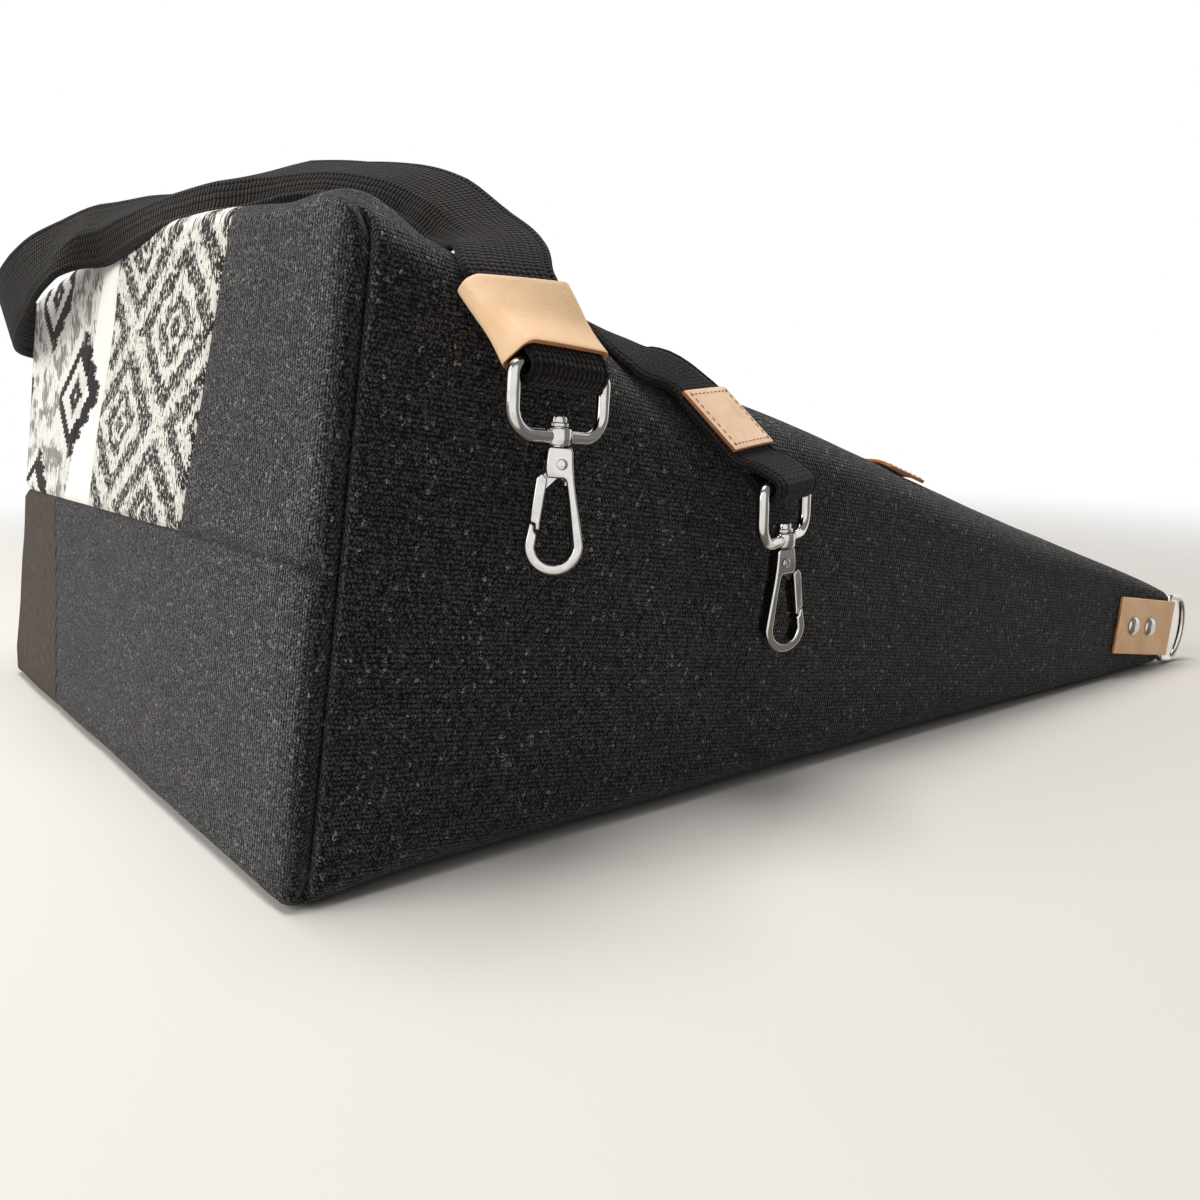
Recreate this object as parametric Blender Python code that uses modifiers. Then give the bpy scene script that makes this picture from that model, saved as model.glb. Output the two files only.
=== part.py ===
"""Tote bag with a boxed base, lying on its back panel, and its shoulder strap with two swivel clips.

The frame: +X runs from the base to the mouth, +Y across the bag, +Z up.
The origin is on the surface that the bag lies on, under the middle of the back panel.
"""
from math import atan, cos, pi, radians, sin

import bmesh
import bpy
from mathutils import Matrix, Vector

# Bag sizes (metres)
BASE_WIDTH = 0.340
BASE_DEPTH = 0.200
BAG_LENGTH = 0.464
MOUTH_DEPTH = 0.042
BASE_OFFSET = 0.232
CLOTH = 0.0018
LINING = 0.0008
LINING_CLEARANCE = 0.0006
LINING_PROUD = 0.004
SEAM_GAP = 0.0003
CORNER_SEAM_GAP = 0.0012
TOUCH_GAP = 0.0003

# Roundings of the filled bag
FRONT_ROUND_AT_BASE = 0.010
FRONT_ROUND = 0.019
PRESSED_ROUND = 0.036
PRESSED_PLACE = 0.116
PRESSED_REACH = 0.075
MOUTH_ROUND = 0.005
BACK_ROUND_AT_BASE = 0.004
BACK_ROUND = 0.012
FRONT_FOLD = 0.007
BACK_FOLD = 0.003
FOLD_FADE = 0.030
CROWN = 0.0155
CROWN_FADE = (0.02, 0.12)

# Seams between the strips: place across the base at its centre seam and at the front fold
CHARCOAL_SEAM = (-0.063, -0.087)
IKAT_SEAM = (0.050, 0.026)
WHITE_SEAM = (0.089, 0.046)
CORDUROY_SEAM = (0.102, 0.077)
SEAM_SLOPE = -0.10

# Leather, webbing and rivets
LEATHER = 0.0015
TAB_WIDTH = 0.030
TAB_LEAF = 0.052
TAB_INNER_LEAF = 0.046
TAB_BEND_STEPS = 8
RIVET_PLACES = (0.0205, 0.0375)
RIVET_SHAFT = 0.0034
RIVET_CAP = 0.010
RIVET_DOME = 0.0018
RIVET_CLEARANCE = 0.0003
RING_WIRE = 0.0033
RING_INNER_WIDTH = 0.0320
RING_REACH = 0.0195
RING_CORNER = 0.003
LABEL_LENGTH = 0.022
LABEL_WIDTH = 0.030
LABEL_PLACE = 0.247
LABEL_INSET = 0.0205
STRAP_WIDTH = 0.030
STRAP = 0.0030
STRAP_STEP = 0.009
BAR_GAP = 0.0007
LAYERS_MEET = 0.015
BASE_OVERLAP = 0.030
MOUTH_OVERLAP = 0.009
SLEEVE_WIDTH = 0.0345
SLEEVE_REACH = (0.003, 0.0055, 0.008, 0.0115, 0.015, 0.026)
PATCH_LENGTH = 0.028
PATCH_WIDTH = 0.029

# Swivel clip, measured down from the middle of the bar that the strap goes round
EYE_WIRE = 0.0043
EYE_INNER_WIDTH = 0.0315
EYE_DROP = 0.0190
EYE_CORNER = 0.0075
EYE_TOP_CORNER = 0.0035
BOSS_DIAMETER = 0.0084
BOSS_HEIGHT = 0.0050
POST_DIAMETER = 0.0038
POST_HEAD_DIAMETER = 0.0063
POST_HEAD = 0.0013
POST_TIP_DIAMETER = 0.0050
POST_TIP = 0.0018
SWIVEL_CLEARANCE = 0.0003
HOOK_THICKNESS = 0.0056
HOOK_LENGTH = 0.0372
HOOK_OUTER_WIDTH = 0.0176
HOOK_NECK_WIDTH = 0.0086
HOUSING_HEIGHT = 0.0090
SPINE = 0.0026
HOOK_BEND = 0.0033
OPENING_TOP_WIDTH = 0.0056
GATE_WIDTH = 0.0031
GATE_SPLIT = 0.0220
GATE_LAP = 0.0024
GATE_CLEARANCE = 0.00025
PIN_DIAMETER = 0.0022
PIN_HEAD_DIAMETER = 0.0032
PIN_HEAD = 0.0004
PIN_SIDE = 0.0010
PIN_DROP = 0.0050
SLOT_WIDTH = 0.0034
EAR_THICKNESS = 0.0013
EAR_RADIUS = 0.0021
SPRING_WIRE = 0.00045
SPRING_TURNS = 2
SPRING_PITCH = 0.0006
EDGE_BEVEL = 0.0005

# Where the two clips hang: the middle of the eye's bar, the bar's turn about Z, its dip, the strap's rise
BASE_CLIP_AT = Vector((-0.1490, -0.1968, 0.1522))
BASE_CLIP_TURN = radians(3.7)
BASE_CLIP_DIP = radians(5.0)
BASE_STRAP_RISE = Vector((-0.265, 0.470, 0.844))
BASE_STRAP_SIDE = Vector((0.985, -0.150, 0.0))
MOUTH_CLIP_AT = Vector((-0.0625, -0.2130, 0.1153))
MOUTH_CLIP_TURN = radians(12.8)
MOUTH_CLIP_DIP = radians(-1.4)
MOUTH_STRAP_RISE = Vector((-0.42, 0.62, 0.66))
MOUTH_STRAP_SIDE = Vector((0.975, 0.215, 0.060))
PATCH_AT = Vector((-0.0738, -0.1947, 0.1361))
PATCH_RISE = Vector((-0.24, 0.66, 0.71))
BASE_HOOK_SWIVEL = radians(-30.0)
MOUTH_HOOK_SWIVEL = radians(155.0)

# The strap's free route between its two folded ends: middle of the webbing, and its side direction
STRAP_ROUTE = (
    ((-0.1501, -0.1690, 0.1900), (0.98, -0.16, 0.10)),
    ((-0.1468, -0.1488, 0.1976), (0.91, -0.20, 0.36)),
    ((-0.1472, -0.1319, 0.2065), (0.84, -0.15, 0.52)),
    ((-0.1510, -0.1163, 0.2127), (0.84, 0.05, 0.54)),
    ((-0.1585, -0.0940, 0.2171), (0.82, 0.22, 0.52)),
    ((-0.1668, -0.0714, 0.2188), (0.74, 0.27, 0.61)),
    ((-0.1779, -0.0470, 0.2181), (0.84, 0.30, 0.45)),
    ((-0.1852, -0.0198, 0.2166), (0.86, 0.23, 0.46)),
    ((-0.1897, 0.0034, 0.2156), (0.77, 0.20, 0.60)),
    ((-0.1930, 0.0193, 0.2148), (0.64, 0.24, 0.73)),
    ((-0.1970, 0.0358, 0.2134), (0.50, 0.30, 0.81)),
    ((-0.2030, 0.0500, 0.2125), (0.42, 0.38, 0.82)),
    ((-0.2098, 0.0660, 0.2080), (0.30, 0.47, 0.83)),
    ((-0.2160, 0.0830, 0.2020), (0.12, 0.44, 0.88)),
    ((-0.2190, 0.1030, 0.1950), (-0.03, 0.36, 0.92)),
    ((-0.2195, 0.1250, 0.1885), (-0.10, 0.26, 0.95)),
    ((-0.2160, 0.1490, 0.1840), (-0.12, 0.18, 0.97)),
    ((-0.2070, 0.1730, 0.1815), (-0.08, 0.10, 0.99)),
    ((-0.1890, 0.1915, 0.1800), (0.00, 0.00, 1.00)),
    ((-0.1640, 0.2010, 0.1800), (0.00, -0.12, 0.99)),
    ((-0.1390, 0.1980, 0.1820), (-0.12, -0.22, 0.97)),
    ((-0.1190, 0.1820, 0.1835), (-0.38, -0.26, 0.89)),
    ((-0.1080, 0.1580, 0.1815), (-0.65, -0.16, 0.74)),
    ((-0.1040, 0.1300, 0.1795), (-0.84, -0.06, 0.54)),
    ((-0.1045, 0.1050, 0.1735), (-0.92, -0.02, 0.40)),
)

# Where the strap then lies on the front panel: distance from the base, and place across
STRAP_REST = ((0.0965, 0.078), (0.0950, 0.050), (0.0930, 0.015), (0.0905, -0.035), (0.0895, -0.080),
              (0.0910, -0.112), (0.0955, -0.138))
STRAP_OVER_EDGE = (
    ((-0.1005, -0.1560, 0.1683), (-0.97, -0.07, 0.22)),
    ((-0.0920, -0.1745, 0.1612), (-0.97, -0.17, 0.10)),
)

# Colours
CHARCOAL = (0.030, 0.030, 0.033)
IKAT_GREY = (0.42, 0.41, 0.38)
OFF_WHITE = (0.80, 0.79, 0.75)
DARK_BROWN = (0.035, 0.026, 0.020)
NAVY = (0.012, 0.018, 0.045)
TAN = (0.72, 0.46, 0.26)
WEBBING = (0.012, 0.011, 0.010)
NICKEL = (0.72, 0.71, 0.69)

# Worked out from the sizes above
MOUTH_FLARE = (BASE_DEPTH - MOUTH_DEPTH) / 2
WEDGE = atan(MOUTH_FLARE / BAG_LENGTH)
ALONG = Vector((cos(WEDGE), 0.0, -sin(WEDGE)))
ACROSS = Vector((0.0, 1.0, 0.0))
FRONT = Vector((sin(WEDGE), 0.0, cos(WEDGE)))
BASE_MIDDLE = FRONT * (BASE_DEPTH / 2) - Vector((BASE_OFFSET, 0.0, 0.0))
LINING_INSET = CLOTH + LINING_CLEARANCE


def clear_scene():
    """Remove every object, so that the model starts from nothing."""
    for old in list(bpy.data.objects):
        bpy.data.objects.remove(old, do_unlink=True)


def new_collection(name):
    group = bpy.data.collections.new(name)
    bpy.context.scene.collection.children.link(group)
    return group


def material(name, colour, roughness, metallic=0.0):
    finish = bpy.data.materials.new(name)
    finish.use_nodes = True
    shader = finish.node_tree.nodes["Principled BSDF"]
    shader.inputs["Base Color"].default_value = (*colour, 1.0)
    shader.inputs["Roughness"].default_value = roughness
    shader.inputs["Metallic"].default_value = metallic
    finish.diffuse_color = (*colour, 1.0)
    return finish


def ease(low, high, value):
    """Smooth step from 0 at low to 1 at high."""
    t = min(max((value - low) / (high - low), 0.0), 1.0)
    return t * t * (3 - 2 * t)


def mix(a, b, t):
    return a + (b - a) * t


# The bag's section at a distance m from the base: a rounded box, half as deep and wide as these

def half_depth(m):
    return BASE_DEPTH / 2 - MOUTH_FLARE * m / BAG_LENGTH


def half_width(m):
    return BASE_WIDTH / 2 + MOUTH_FLARE * m / BAG_LENGTH


def front_round(m):
    """The near and far front edges are rounder where the strap's weight presses on them."""
    grown = mix(FRONT_ROUND_AT_BASE, FRONT_ROUND, ease(0.005, 0.055, m))
    grown = mix(PRESSED_ROUND, grown, ease(0.0, PRESSED_REACH, abs(m - PRESSED_PLACE)))
    return mix(grown, MOUTH_ROUND, ease(0.60 * BAG_LENGTH, BAG_LENGTH, m))


def back_round(m):
    grown = mix(BACK_ROUND_AT_BASE, BACK_ROUND, ease(0.0, 0.04, m))
    return mix(grown, MOUTH_ROUND, ease(0.60 * BAG_LENGTH, BAG_LENGTH, m))


def crown(y, m):
    """How far the front panel swells over its plane near the base."""
    across = max(0.0, 1 - (y / half_width(m)) ** 2)
    return CROWN * across * (1 - ease(CROWN_FADE[0], CROWN_FADE[1], m))


def bag_point(m, y, v):
    return BASE_MIDDLE + ALONG * m + ACROSS * y + FRONT * v


def seam_on_base(seam, v):
    """Place of a seam across the base at height v: straight from the centre seam to the fold."""
    middle, fold = seam
    return mix(middle, fold, abs(v) / (BASE_DEPTH / 2))


def seam_on_panel(seam, m):
    return seam[1] + SEAM_SLOPE * m


def corner(m, angle, front, side, inset):
    """A point of a rounded corner; angle 0 is on the bag's side, a right angle is on the panel."""
    radius = front_round(m) if front else back_round(m)
    radius = max(radius - inset, 0.0008)
    y = half_width(m) - inset - radius + radius * cos(angle)
    v = half_depth(m) - inset - radius + radius * sin(angle)
    if front:
        v += crown(y, m) * sin(angle)
    return (side * y, v if front else -v)


CORNER_ANGLES = (0.0, pi / 8, pi / 4, 3 * pi / 8, pi / 2)


def side_columns(m, side, inset):
    """Points up one side, from the middle of the back rounding to the middle of the front one."""
    back = [corner(m, a, False, side, inset) for a in reversed(CORNER_ANGLES[:3])]
    front = [corner(m, a, True, side, inset) for a in CORNER_ANGLES[:3]]
    edge = side * (half_width(m) - inset)
    middle = [(edge, back[-1][1] / 2), (edge, 0.0), (edge, front[0][1] / 2)]
    return back + middle + front


def panel_columns(m, front, inset, seams):
    """Points across a panel, from the near rounding to the far one, with columns on its seams."""
    near = [corner(m, a, front, -1, inset) for a in CORNER_ANGLES[2:]]
    far = [corner(m, a, front, 1, inset) for a in reversed(CORNER_ANGLES[2:])]
    places = [near[-1][0]]
    for place, parts in seams + [(far[0][0], 2)]:
        start = places[-1]
        places += [mix(start, place, k / parts) for k in range(1, parts + 1)]
    level = half_depth(m) - inset
    flat = [(y, level + crown(y, m) if front else -level) for y in places[1:-1]]
    return near + flat + far


def front_columns(m, inset=0.0):
    seams = [(seam_on_panel(CHARCOAL_SEAM, m), 2), (seam_on_panel(IKAT_SEAM, m), 3),
             (seam_on_panel(WHITE_SEAM, m), 1)]
    return panel_columns(m, True, inset, seams)


def back_columns(m, inset=0.0):
    charcoal = seam_on_panel(CHARCOAL_SEAM, m)
    seams = [(charcoal, 2), (seam_on_panel(CORDUROY_SEAM, m), 4)]
    return panel_columns(m, False, inset, seams)


# Columns of the front panel: the corner is 0, and these are on the seams
CHARCOAL_COLUMN = 4
IKAT_COLUMN = 7
WHITE_COLUMN = 8
FAR_COLUMN = 12
CORDUROY_COLUMN = 8
PANEL_STATIONS = (0.032, 0.058, 0.080, 0.105, 0.130, 0.155, 0.200, 0.280, 0.370)
FOLD_STEPS = 3


def fold_radius(columns, index, front, inset):
    """The fold between a panel and the base is sharp at the boxed corners and soft between them."""
    reach = min(abs(columns[index][0] - columns[0][0]), abs(columns[index][0] - columns[-1][0]))
    radius = (FRONT_FOLD if front else BACK_FOLD) * ease(0.0, FOLD_FADE, reach) - inset
    return radius if radius > 0.0026 - inset and index not in (0, 1, FAR_COLUMN - 1, FAR_COLUMN) else 0.0


def middle_places(inset, front, shared):
    """Where a panel's columns meet the base's centre seam."""
    columns = front_columns(0.0, inset)
    near = -half_width(0.0) + inset
    charcoal = CHARCOAL_SEAM[0]
    first = columns[0][0]
    last = columns[CHARCOAL_COLUMN][0]
    places = [mix(near, charcoal, (columns[k][0] - first) / (last - first)) for k in range(CHARCOAL_COLUMN + 1)]
    if front or shared:
        stops = [(IKAT_SEAM[0], 3), (WHITE_SEAM[0], 1), (-near, 4)]
    else:
        stops = [(CORDUROY_SEAM[0], 4), (-near, 4)]
    for place, parts in stops:
        start = places[-1]
        places += [mix(start, place, k / parts) for k in range(1, parts + 1)]
    return places


def panel_grid(front, inset=0.0, end=BAG_LENGTH, shared=False, proud=0.0):
    """Rows of points from the mouth down the panel, round the fold and over half of the base."""
    columns_at = front_columns if front else back_columns
    sign = 1 if front else -1
    flat = columns_at(0.0, inset)
    radii = [fold_radius(flat, k, front, inset) for k in range(len(flat))]
    base = [columns_at(inset + radius, inset)[k] for k, radius in enumerate(radii)]
    reach = [end + proud * sin(pi * k / FAR_COLUMN) for k in range(len(flat))]
    rows = [[bag_point(m, *columns_at(m, inset)[k]) for k, m in enumerate(reach)]]
    for m in reversed(PANEL_STATIONS):
        rows.append([bag_point(m, *p) for p in columns_at(m, inset)])
    for step in range(FOLD_STEPS + 1):
        turn = pi / 2 * step / FOLD_STEPS
        row = []
        for k, (y, v) in enumerate(base):
            m = inset + radii[k] * (1 - sin(turn))
            row.append(bag_point(m, y, v - sign * radii[k] * (1 - cos(turn))))
        rows.append(row)
    edge = side_columns(inset, -1, inset)
    edge = edge[4:][::-1] if front else edge[:5]
    places = middle_places(inset, front, shared)
    top = abs(edge[0][1])
    for edge_y, edge_v in edge[1:]:
        share = abs(edge_v) / top
        row = []
        for k, (y, v) in enumerate(base):
            level = share * (v - sign * radii[k])
            place = mix(places[k], y, share)
            if k == 0:
                place, level = edge_y, edge_v
            if k == FAR_COLUMN:
                place, level = -edge_y, edge_v
            row.append(bag_point(inset, place, level))
        rows.append(row)
    return rows


def side_grid(side, inset=0.0, end=BAG_LENGTH, start=None):
    start = inset if start is None else start
    rows = [[bag_point(end, *p) for p in side_columns(end, side, inset)]]
    for m in reversed(PANEL_STATIONS):
        rows.append([bag_point(m, *p) for p in side_columns(m, side, inset)])
    rows.append([bag_point(start, *p) for p in side_columns(start, side, inset)])
    return rows


class Cloth:
    """Grids of points sewn into one open surface, whose shared points are merged as they are met."""

    def __init__(self):
        self.mesh = bmesh.new()
        self.known = {}

    def vertex(self, point):
        key = tuple(round(c * 1e5) for c in point)
        if key not in self.known:
            self.known[key] = self.mesh.verts.new(point)
        return self.known[key]

    def add(self, rows, first=0, last=None, flip=False):
        for upper, lower in zip(rows, rows[1:]):
            stop = len(upper) - 1 if last is None else last
            for k in range(first, stop):
                self.face([upper[k], upper[k + 1], lower[k + 1], lower[k]], flip)

    def face(self, points, flip):
        corners = []
        for point in points:
            vertex = self.vertex(point)
            if vertex not in corners:
                corners.append(vertex)
        if len(corners) > 2:
            self.mesh.faces.new(corners[::-1] if flip else corners)

    def finish(self, name, finish, thickness, group, offset=-1.0):
        data = bpy.data.meshes.new(name)
        self.mesh.to_mesh(data)
        self.mesh.free()
        piece = bpy.data.objects.new(name, data)
        group.objects.link(piece)
        data.materials.append(finish)
        if thickness:
            shell = piece.modifiers.new("thickness", "SOLIDIFY")
            shell.thickness = thickness
            shell.offset = offset
            shell.use_even_offset = True
            shell.use_quality_normals = True
        return piece


def narrowed(rows, first, last, near_gap, far_gap):
    """The stretch of columns from first to last, with its outer columns drawn in by half of their gaps."""
    taken = []
    for row in rows:
        points = [p.copy() for p in row[first:last + 1]]
        points[0] += (points[1] - points[0]).normalized() * near_gap / 2
        points[-1] += (points[-2] - points[-1]).normalized() * far_gap / 2
        taken.append(points)
    return taken


def lifted(rows):
    """The last row drawn back by a seam gap, so that a strip ends short of the base's centre seam."""
    rows[-1] = [p + (q - p).normalized() * SEAM_GAP for p, q in zip(rows[-1], rows[-2])]
    return rows


def make_bag(group, finishes):
    """The sewn cloth pieces: all are open surfaces of the outer shape, thickened inwards."""
    front = panel_grid(True)
    back = panel_grid(False)
    pieces = {}

    body = Cloth()
    body.add(side_grid(-1))
    body.add(narrowed(front, 0, CHARCOAL_COLUMN, 0.0, SEAM_GAP))
    body.add(narrowed(back, 0, CORDUROY_COLUMN, 0.0, SEAM_GAP), flip=True)
    pieces["charcoal_body"] = body.finish("charcoal_body", finishes["charcoal"], CLOTH, group)

    strips = (
        ("ikat_strip_wide", front, CHARCOAL_COLUMN, IKAT_COLUMN, "ikat", False),
        ("white_strip", front, IKAT_COLUMN, WHITE_COLUMN, "white", False),
        ("ikat_strip_bold", front, WHITE_COLUMN, FAR_COLUMN, "ikat", False),
        ("corduroy_strip", back, CORDUROY_COLUMN, FAR_COLUMN, "corduroy", True),
    )
    for name, rows, first, last, finish, flip in strips:
        strip = Cloth()
        far_gap = CORNER_SEAM_GAP if last == FAR_COLUMN else SEAM_GAP
        strip.add(lifted(narrowed(rows, first, last, SEAM_GAP, far_gap)), flip=flip)
        pieces[name] = strip.finish(name, finishes[finish], CLOTH, group)

    far = Cloth()
    far_rows = side_grid(1, start=CLOTH + SEAM_GAP)
    far.add(narrowed(far_rows, 0, len(far_rows[0]) - 1, CORNER_SEAM_GAP, CORNER_SEAM_GAP), flip=True)
    pieces["far_side_panel"] = far.finish("far_side_panel", finishes["charcoal"], CLOTH, group)

    inner = Cloth()
    inner.add(side_grid(-1, LINING_INSET))
    inner.add(side_grid(1, LINING_INSET), flip=True)
    inner.add(panel_grid(True, LINING_INSET, shared=True, proud=LINING_PROUD))
    inner.add(panel_grid(False, LINING_INSET, shared=True, proud=LINING_PROUD), flip=True)
    pieces["lining"] = inner.finish("lining", finishes["navy"], LINING, group)
    return pieces


# Ribbons: strips of webbing or leather that follow a route of middles and side directions

def smooth_route(stations, step):
    """Even stations on the smooth curve through a route's own points (Catmull-Rom)."""
    points = [Vector(p) for p, _, _ in stations]
    sides = [Vector(s).normalized() for _, s, _ in stations]
    frees = [f for _, _, f in stations]
    points = [points[0] * 2 - points[1]] + points + [points[-1] * 2 - points[-2]]
    sides = [sides[0]] + sides + [sides[-1]]
    frees = [frees[0]] + frees + [frees[-1]]
    route = []
    for k in range(1, len(points) - 2):
        a, b, c, d = points[k - 1:k + 3]
        count = max(1, round((c - b).length / step))
        for i in range(count):
            t = i / count
            place = b + (c - a) * (t / 2) + (a * 2 - b * 5 + c * 4 - d) * (t * t / 2)
            place += (b * 3 - a - c * 3 + d) * (t ** 3 / 2)
            route.append((place, sides[k].lerp(sides[k + 1], t), mix(frees[k], frees[k + 1], t)))
    route.append((points[-2], sides[-1], frees[-1]))
    return route


def squared(route):
    """Each side direction made square to the route, as far as the station is free, and of unit length."""
    result = []
    for k, (place, side, free) in enumerate(route):
        before = route[max(k - 1, 0)][0]
        after = route[min(k + 1, len(route) - 1)][0]
        tangent = (after - before).normalized()
        result.append((place, (side - tangent * side.dot(tangent) * free).normalized()))
    return result


def ribbon(name, route, width, thickness, finish, group, parts=2):
    """A flat band along a route, half of its thickness to each side."""
    rows = []
    for place, side in squared(route):
        rows.append([place + side * width * (k / parts - 0.5) for k in range(parts + 1)])
    band = Cloth()
    band.add(rows)
    return band.finish(name, finish, thickness, group, offset=0.0)


def bar_frame(turn, dip):
    """The axes of a hanging clip: along its bar, into the bag and up its post."""
    bar = Vector((cos(turn) * cos(dip), sin(turn) * cos(dip), -sin(dip)))
    inward = Vector((-sin(turn), cos(turn), 0.0))
    return bar, inward, bar.cross(inward)


def resting(m, y):
    """The strap's middle and side where it lies flat on the front panel."""
    half = STRAP_WIDTH / 2
    points = [bag_point(m + step, y, half_depth(m + step) + crown(y, m + step)) for step in (half, 0.0, -half)]
    side = (points[2] - points[0]).normalized()
    level = max(FRONT.dot(points[1]), FRONT.dot(points[0] + points[2]) / 2)
    lift = level - FRONT.dot(points[1]) + STRAP / 2 + 3 * TOUCH_GAP
    return (points[1] + FRONT * lift, side, 1.0)


LAYER = (STRAP + TOUCH_GAP) / 2
LOOP_RADIUS = EYE_WIRE / 2 + BAR_GAP + STRAP / 2


def spread(reach):
    """How far each layer of a folded end is from the middle between them, at a reach above the bar."""
    return mix(LOOP_RADIUS, LAYER, ease(-0.004, LAYERS_MEET, reach))


class FoldedEnd:
    """A strap end folded round an eye's bar: it rises from the bar, leaning and turning as it goes."""

    def __init__(self, at, bar, rise, side, overlap):
        self.at = at
        self.bar = bar
        lean = rise.dot(bar)
        self.up = (rise - bar * lean).normalized()
        self.lean = lean / (rise - bar * lean).length
        self.side = side.normalized()
        self.overlap = overlap

    def middle(self, reach):
        return self.at + self.up * reach + self.bar * self.lean * max(reach - 0.002, 0.0)

    def across(self, reach):
        return self.bar.lerp(self.side, ease(0.0, self.overlap, reach)).normalized()

    def out(self, reach):
        rise = self.up + self.bar * (self.lean if reach > 0 else 0.0)
        return self.across(reach).cross(rise).normalized()

    def layer(self, reach, sign):
        return (self.middle(reach) + self.out(reach) * spread(reach) * sign, self.across(reach), 0.0)

    def stations(self):
        """From the cut end under the strap, round the bar, and up the outer layer."""
        reaches = [r for r in (0.0, 0.004, 0.008, 0.012, LAYERS_MEET, 0.022) if r < self.overlap - 0.002]
        reaches.append(self.overlap)
        shape = [self.layer(r, -1) for r in reversed(reaches)]
        for degrees in (-118, -138, -158, -178, 162, 142, 122):
            turn = radians(degrees)
            offset = self.up * cos(turn) + self.bar.cross(self.up) * sin(turn)
            shape.append((self.at + offset * LOOP_RADIUS, self.bar, 0.0))
        return shape + [self.layer(r, 1) for r in reaches]


def make_strap(group, finishes):
    """The strap, with both ends folded round the clips' eyes, the sleeve and the patch."""
    base_end = FoldedEnd(BASE_CLIP_AT, bar_frame(BASE_CLIP_TURN, BASE_CLIP_DIP)[0], BASE_STRAP_RISE,
                         BASE_STRAP_SIDE, BASE_OVERLAP)
    mouth_end = FoldedEnd(MOUTH_CLIP_AT, bar_frame(MOUTH_CLIP_TURN, MOUTH_CLIP_DIP)[0], MOUTH_STRAP_RISE,
                          MOUTH_STRAP_SIDE, MOUTH_OVERLAP)
    stations = base_end.stations()
    stations += [(p, s, 1.0) for p, s in STRAP_ROUTE]
    stations += [resting(m, y) for m, y in STRAP_REST]
    stations += [(p, s, 1.0) for p, s in STRAP_OVER_EDGE]
    patch_rise = PATCH_RISE.normalized()
    patch_side = -mouth_end.side
    patch_out = patch_rise.cross(patch_side).normalized()
    for reach in (0.62, 0.3, -0.1, -0.56):
        stations.append((PATCH_AT + patch_rise * PATCH_LENGTH * reach, patch_side, 0.0))
    stations += [(p, -s, 0.0) for p, s, _ in reversed(mouth_end.stations())]
    route = smooth_route(stations, STRAP_STEP)
    pieces = {"shoulder_strap": ribbon(
        "shoulder_strap", route, STRAP_WIDTH, STRAP, finishes["webbing"], group, parts=1)}

    corner_radius = LEATHER * 0.8
    half = SLEEVE_WIDTH / 2 - LEATHER
    rows = []
    for reach in SLEEVE_REACH:
        thick = spread(reach) + STRAP / 2 + 2 * TOUCH_GAP
        across = base_end.across(reach)
        out = base_end.out(reach)
        ring = []
        for sy, sn, turn in ((1, 1, 0), (-1, 1, 1), (-1, -1, 2), (1, -1, 3)):
            for step in range(3):
                angle = pi / 2 * (turn + step / 2)
                a = sy * (half - corner_radius) + corner_radius * cos(angle)
                n = sn * (thick - corner_radius) + corner_radius * sin(angle)
                ring.append(base_end.middle(reach) + across * a + out * n)
        rows.append(ring + ring[:1])
    sleeve = Cloth()
    sleeve.add(rows, flip=True)
    pieces["strap_sleeve"] = sleeve.finish("strap_sleeve", finishes["leather"], LEATHER, group, offset=1.0)

    lift = STRAP / 2 + TOUCH_GAP + LEATHER / 2
    patch = [(PATCH_AT + patch_rise * PATCH_LENGTH * (k / 3 - 0.5) * 0.96 + patch_out * lift, patch_side, 0.0)
             for k in range(4)]
    pieces["strap_patch"] = ribbon("strap_patch", patch, PATCH_WIDTH, LEATHER, finishes["leather"], group)
    return pieces


def make_label(group, finishes):
    """A small bare leather label on the front panel, bent over the near rounding."""
    rows = []
    for row in range(5):
        m = LABEL_PLACE + LABEL_LENGTH * (row / 4 - 0.5)
        radius = front_round(m)
        arc = radius * pi / 2
        points = []
        for k in range(7):
            reach = LABEL_INSET + LABEL_WIDTH * k / 6
            angle = min(reach / radius, pi / 2)
            y, v = corner(m, angle, True, -1, -TOUCH_GAP)
            y += max(reach - arc, 0.0)
            points.append(bag_point(m, y, v))
        rows.append(points)
    label = Cloth()
    label.add(rows, flip=True)
    return {"leather_label": label.finish("leather_label", finishes["leather"], LEATHER, group, offset=1.0)}


# Ring tabs at the two sides of the mouth

def side_frame(side):
    """At the middle of a side's mouth edge: the way out of the mouth, outwards, and across the tab."""
    towards = (ALONG * BAG_LENGTH + ACROSS * side * MOUTH_FLARE).normalized()
    outward = (ACROSS * side - towards * towards.dot(ACROSS * side)).normalized()
    edge = bag_point(BAG_LENGTH, side * half_width(BAG_LENGTH), 0.0)
    return edge, towards, outward


WALL = CLOTH + LINING_CLEARANCE + LINING
TAB_INNER_RADIUS = max(WALL / 2 + TOUCH_GAP, RING_WIRE / 2 + TOUCH_GAP)
RING_CENTRE = RING_WIRE / 2 + 2 * TOUCH_GAP


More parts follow.
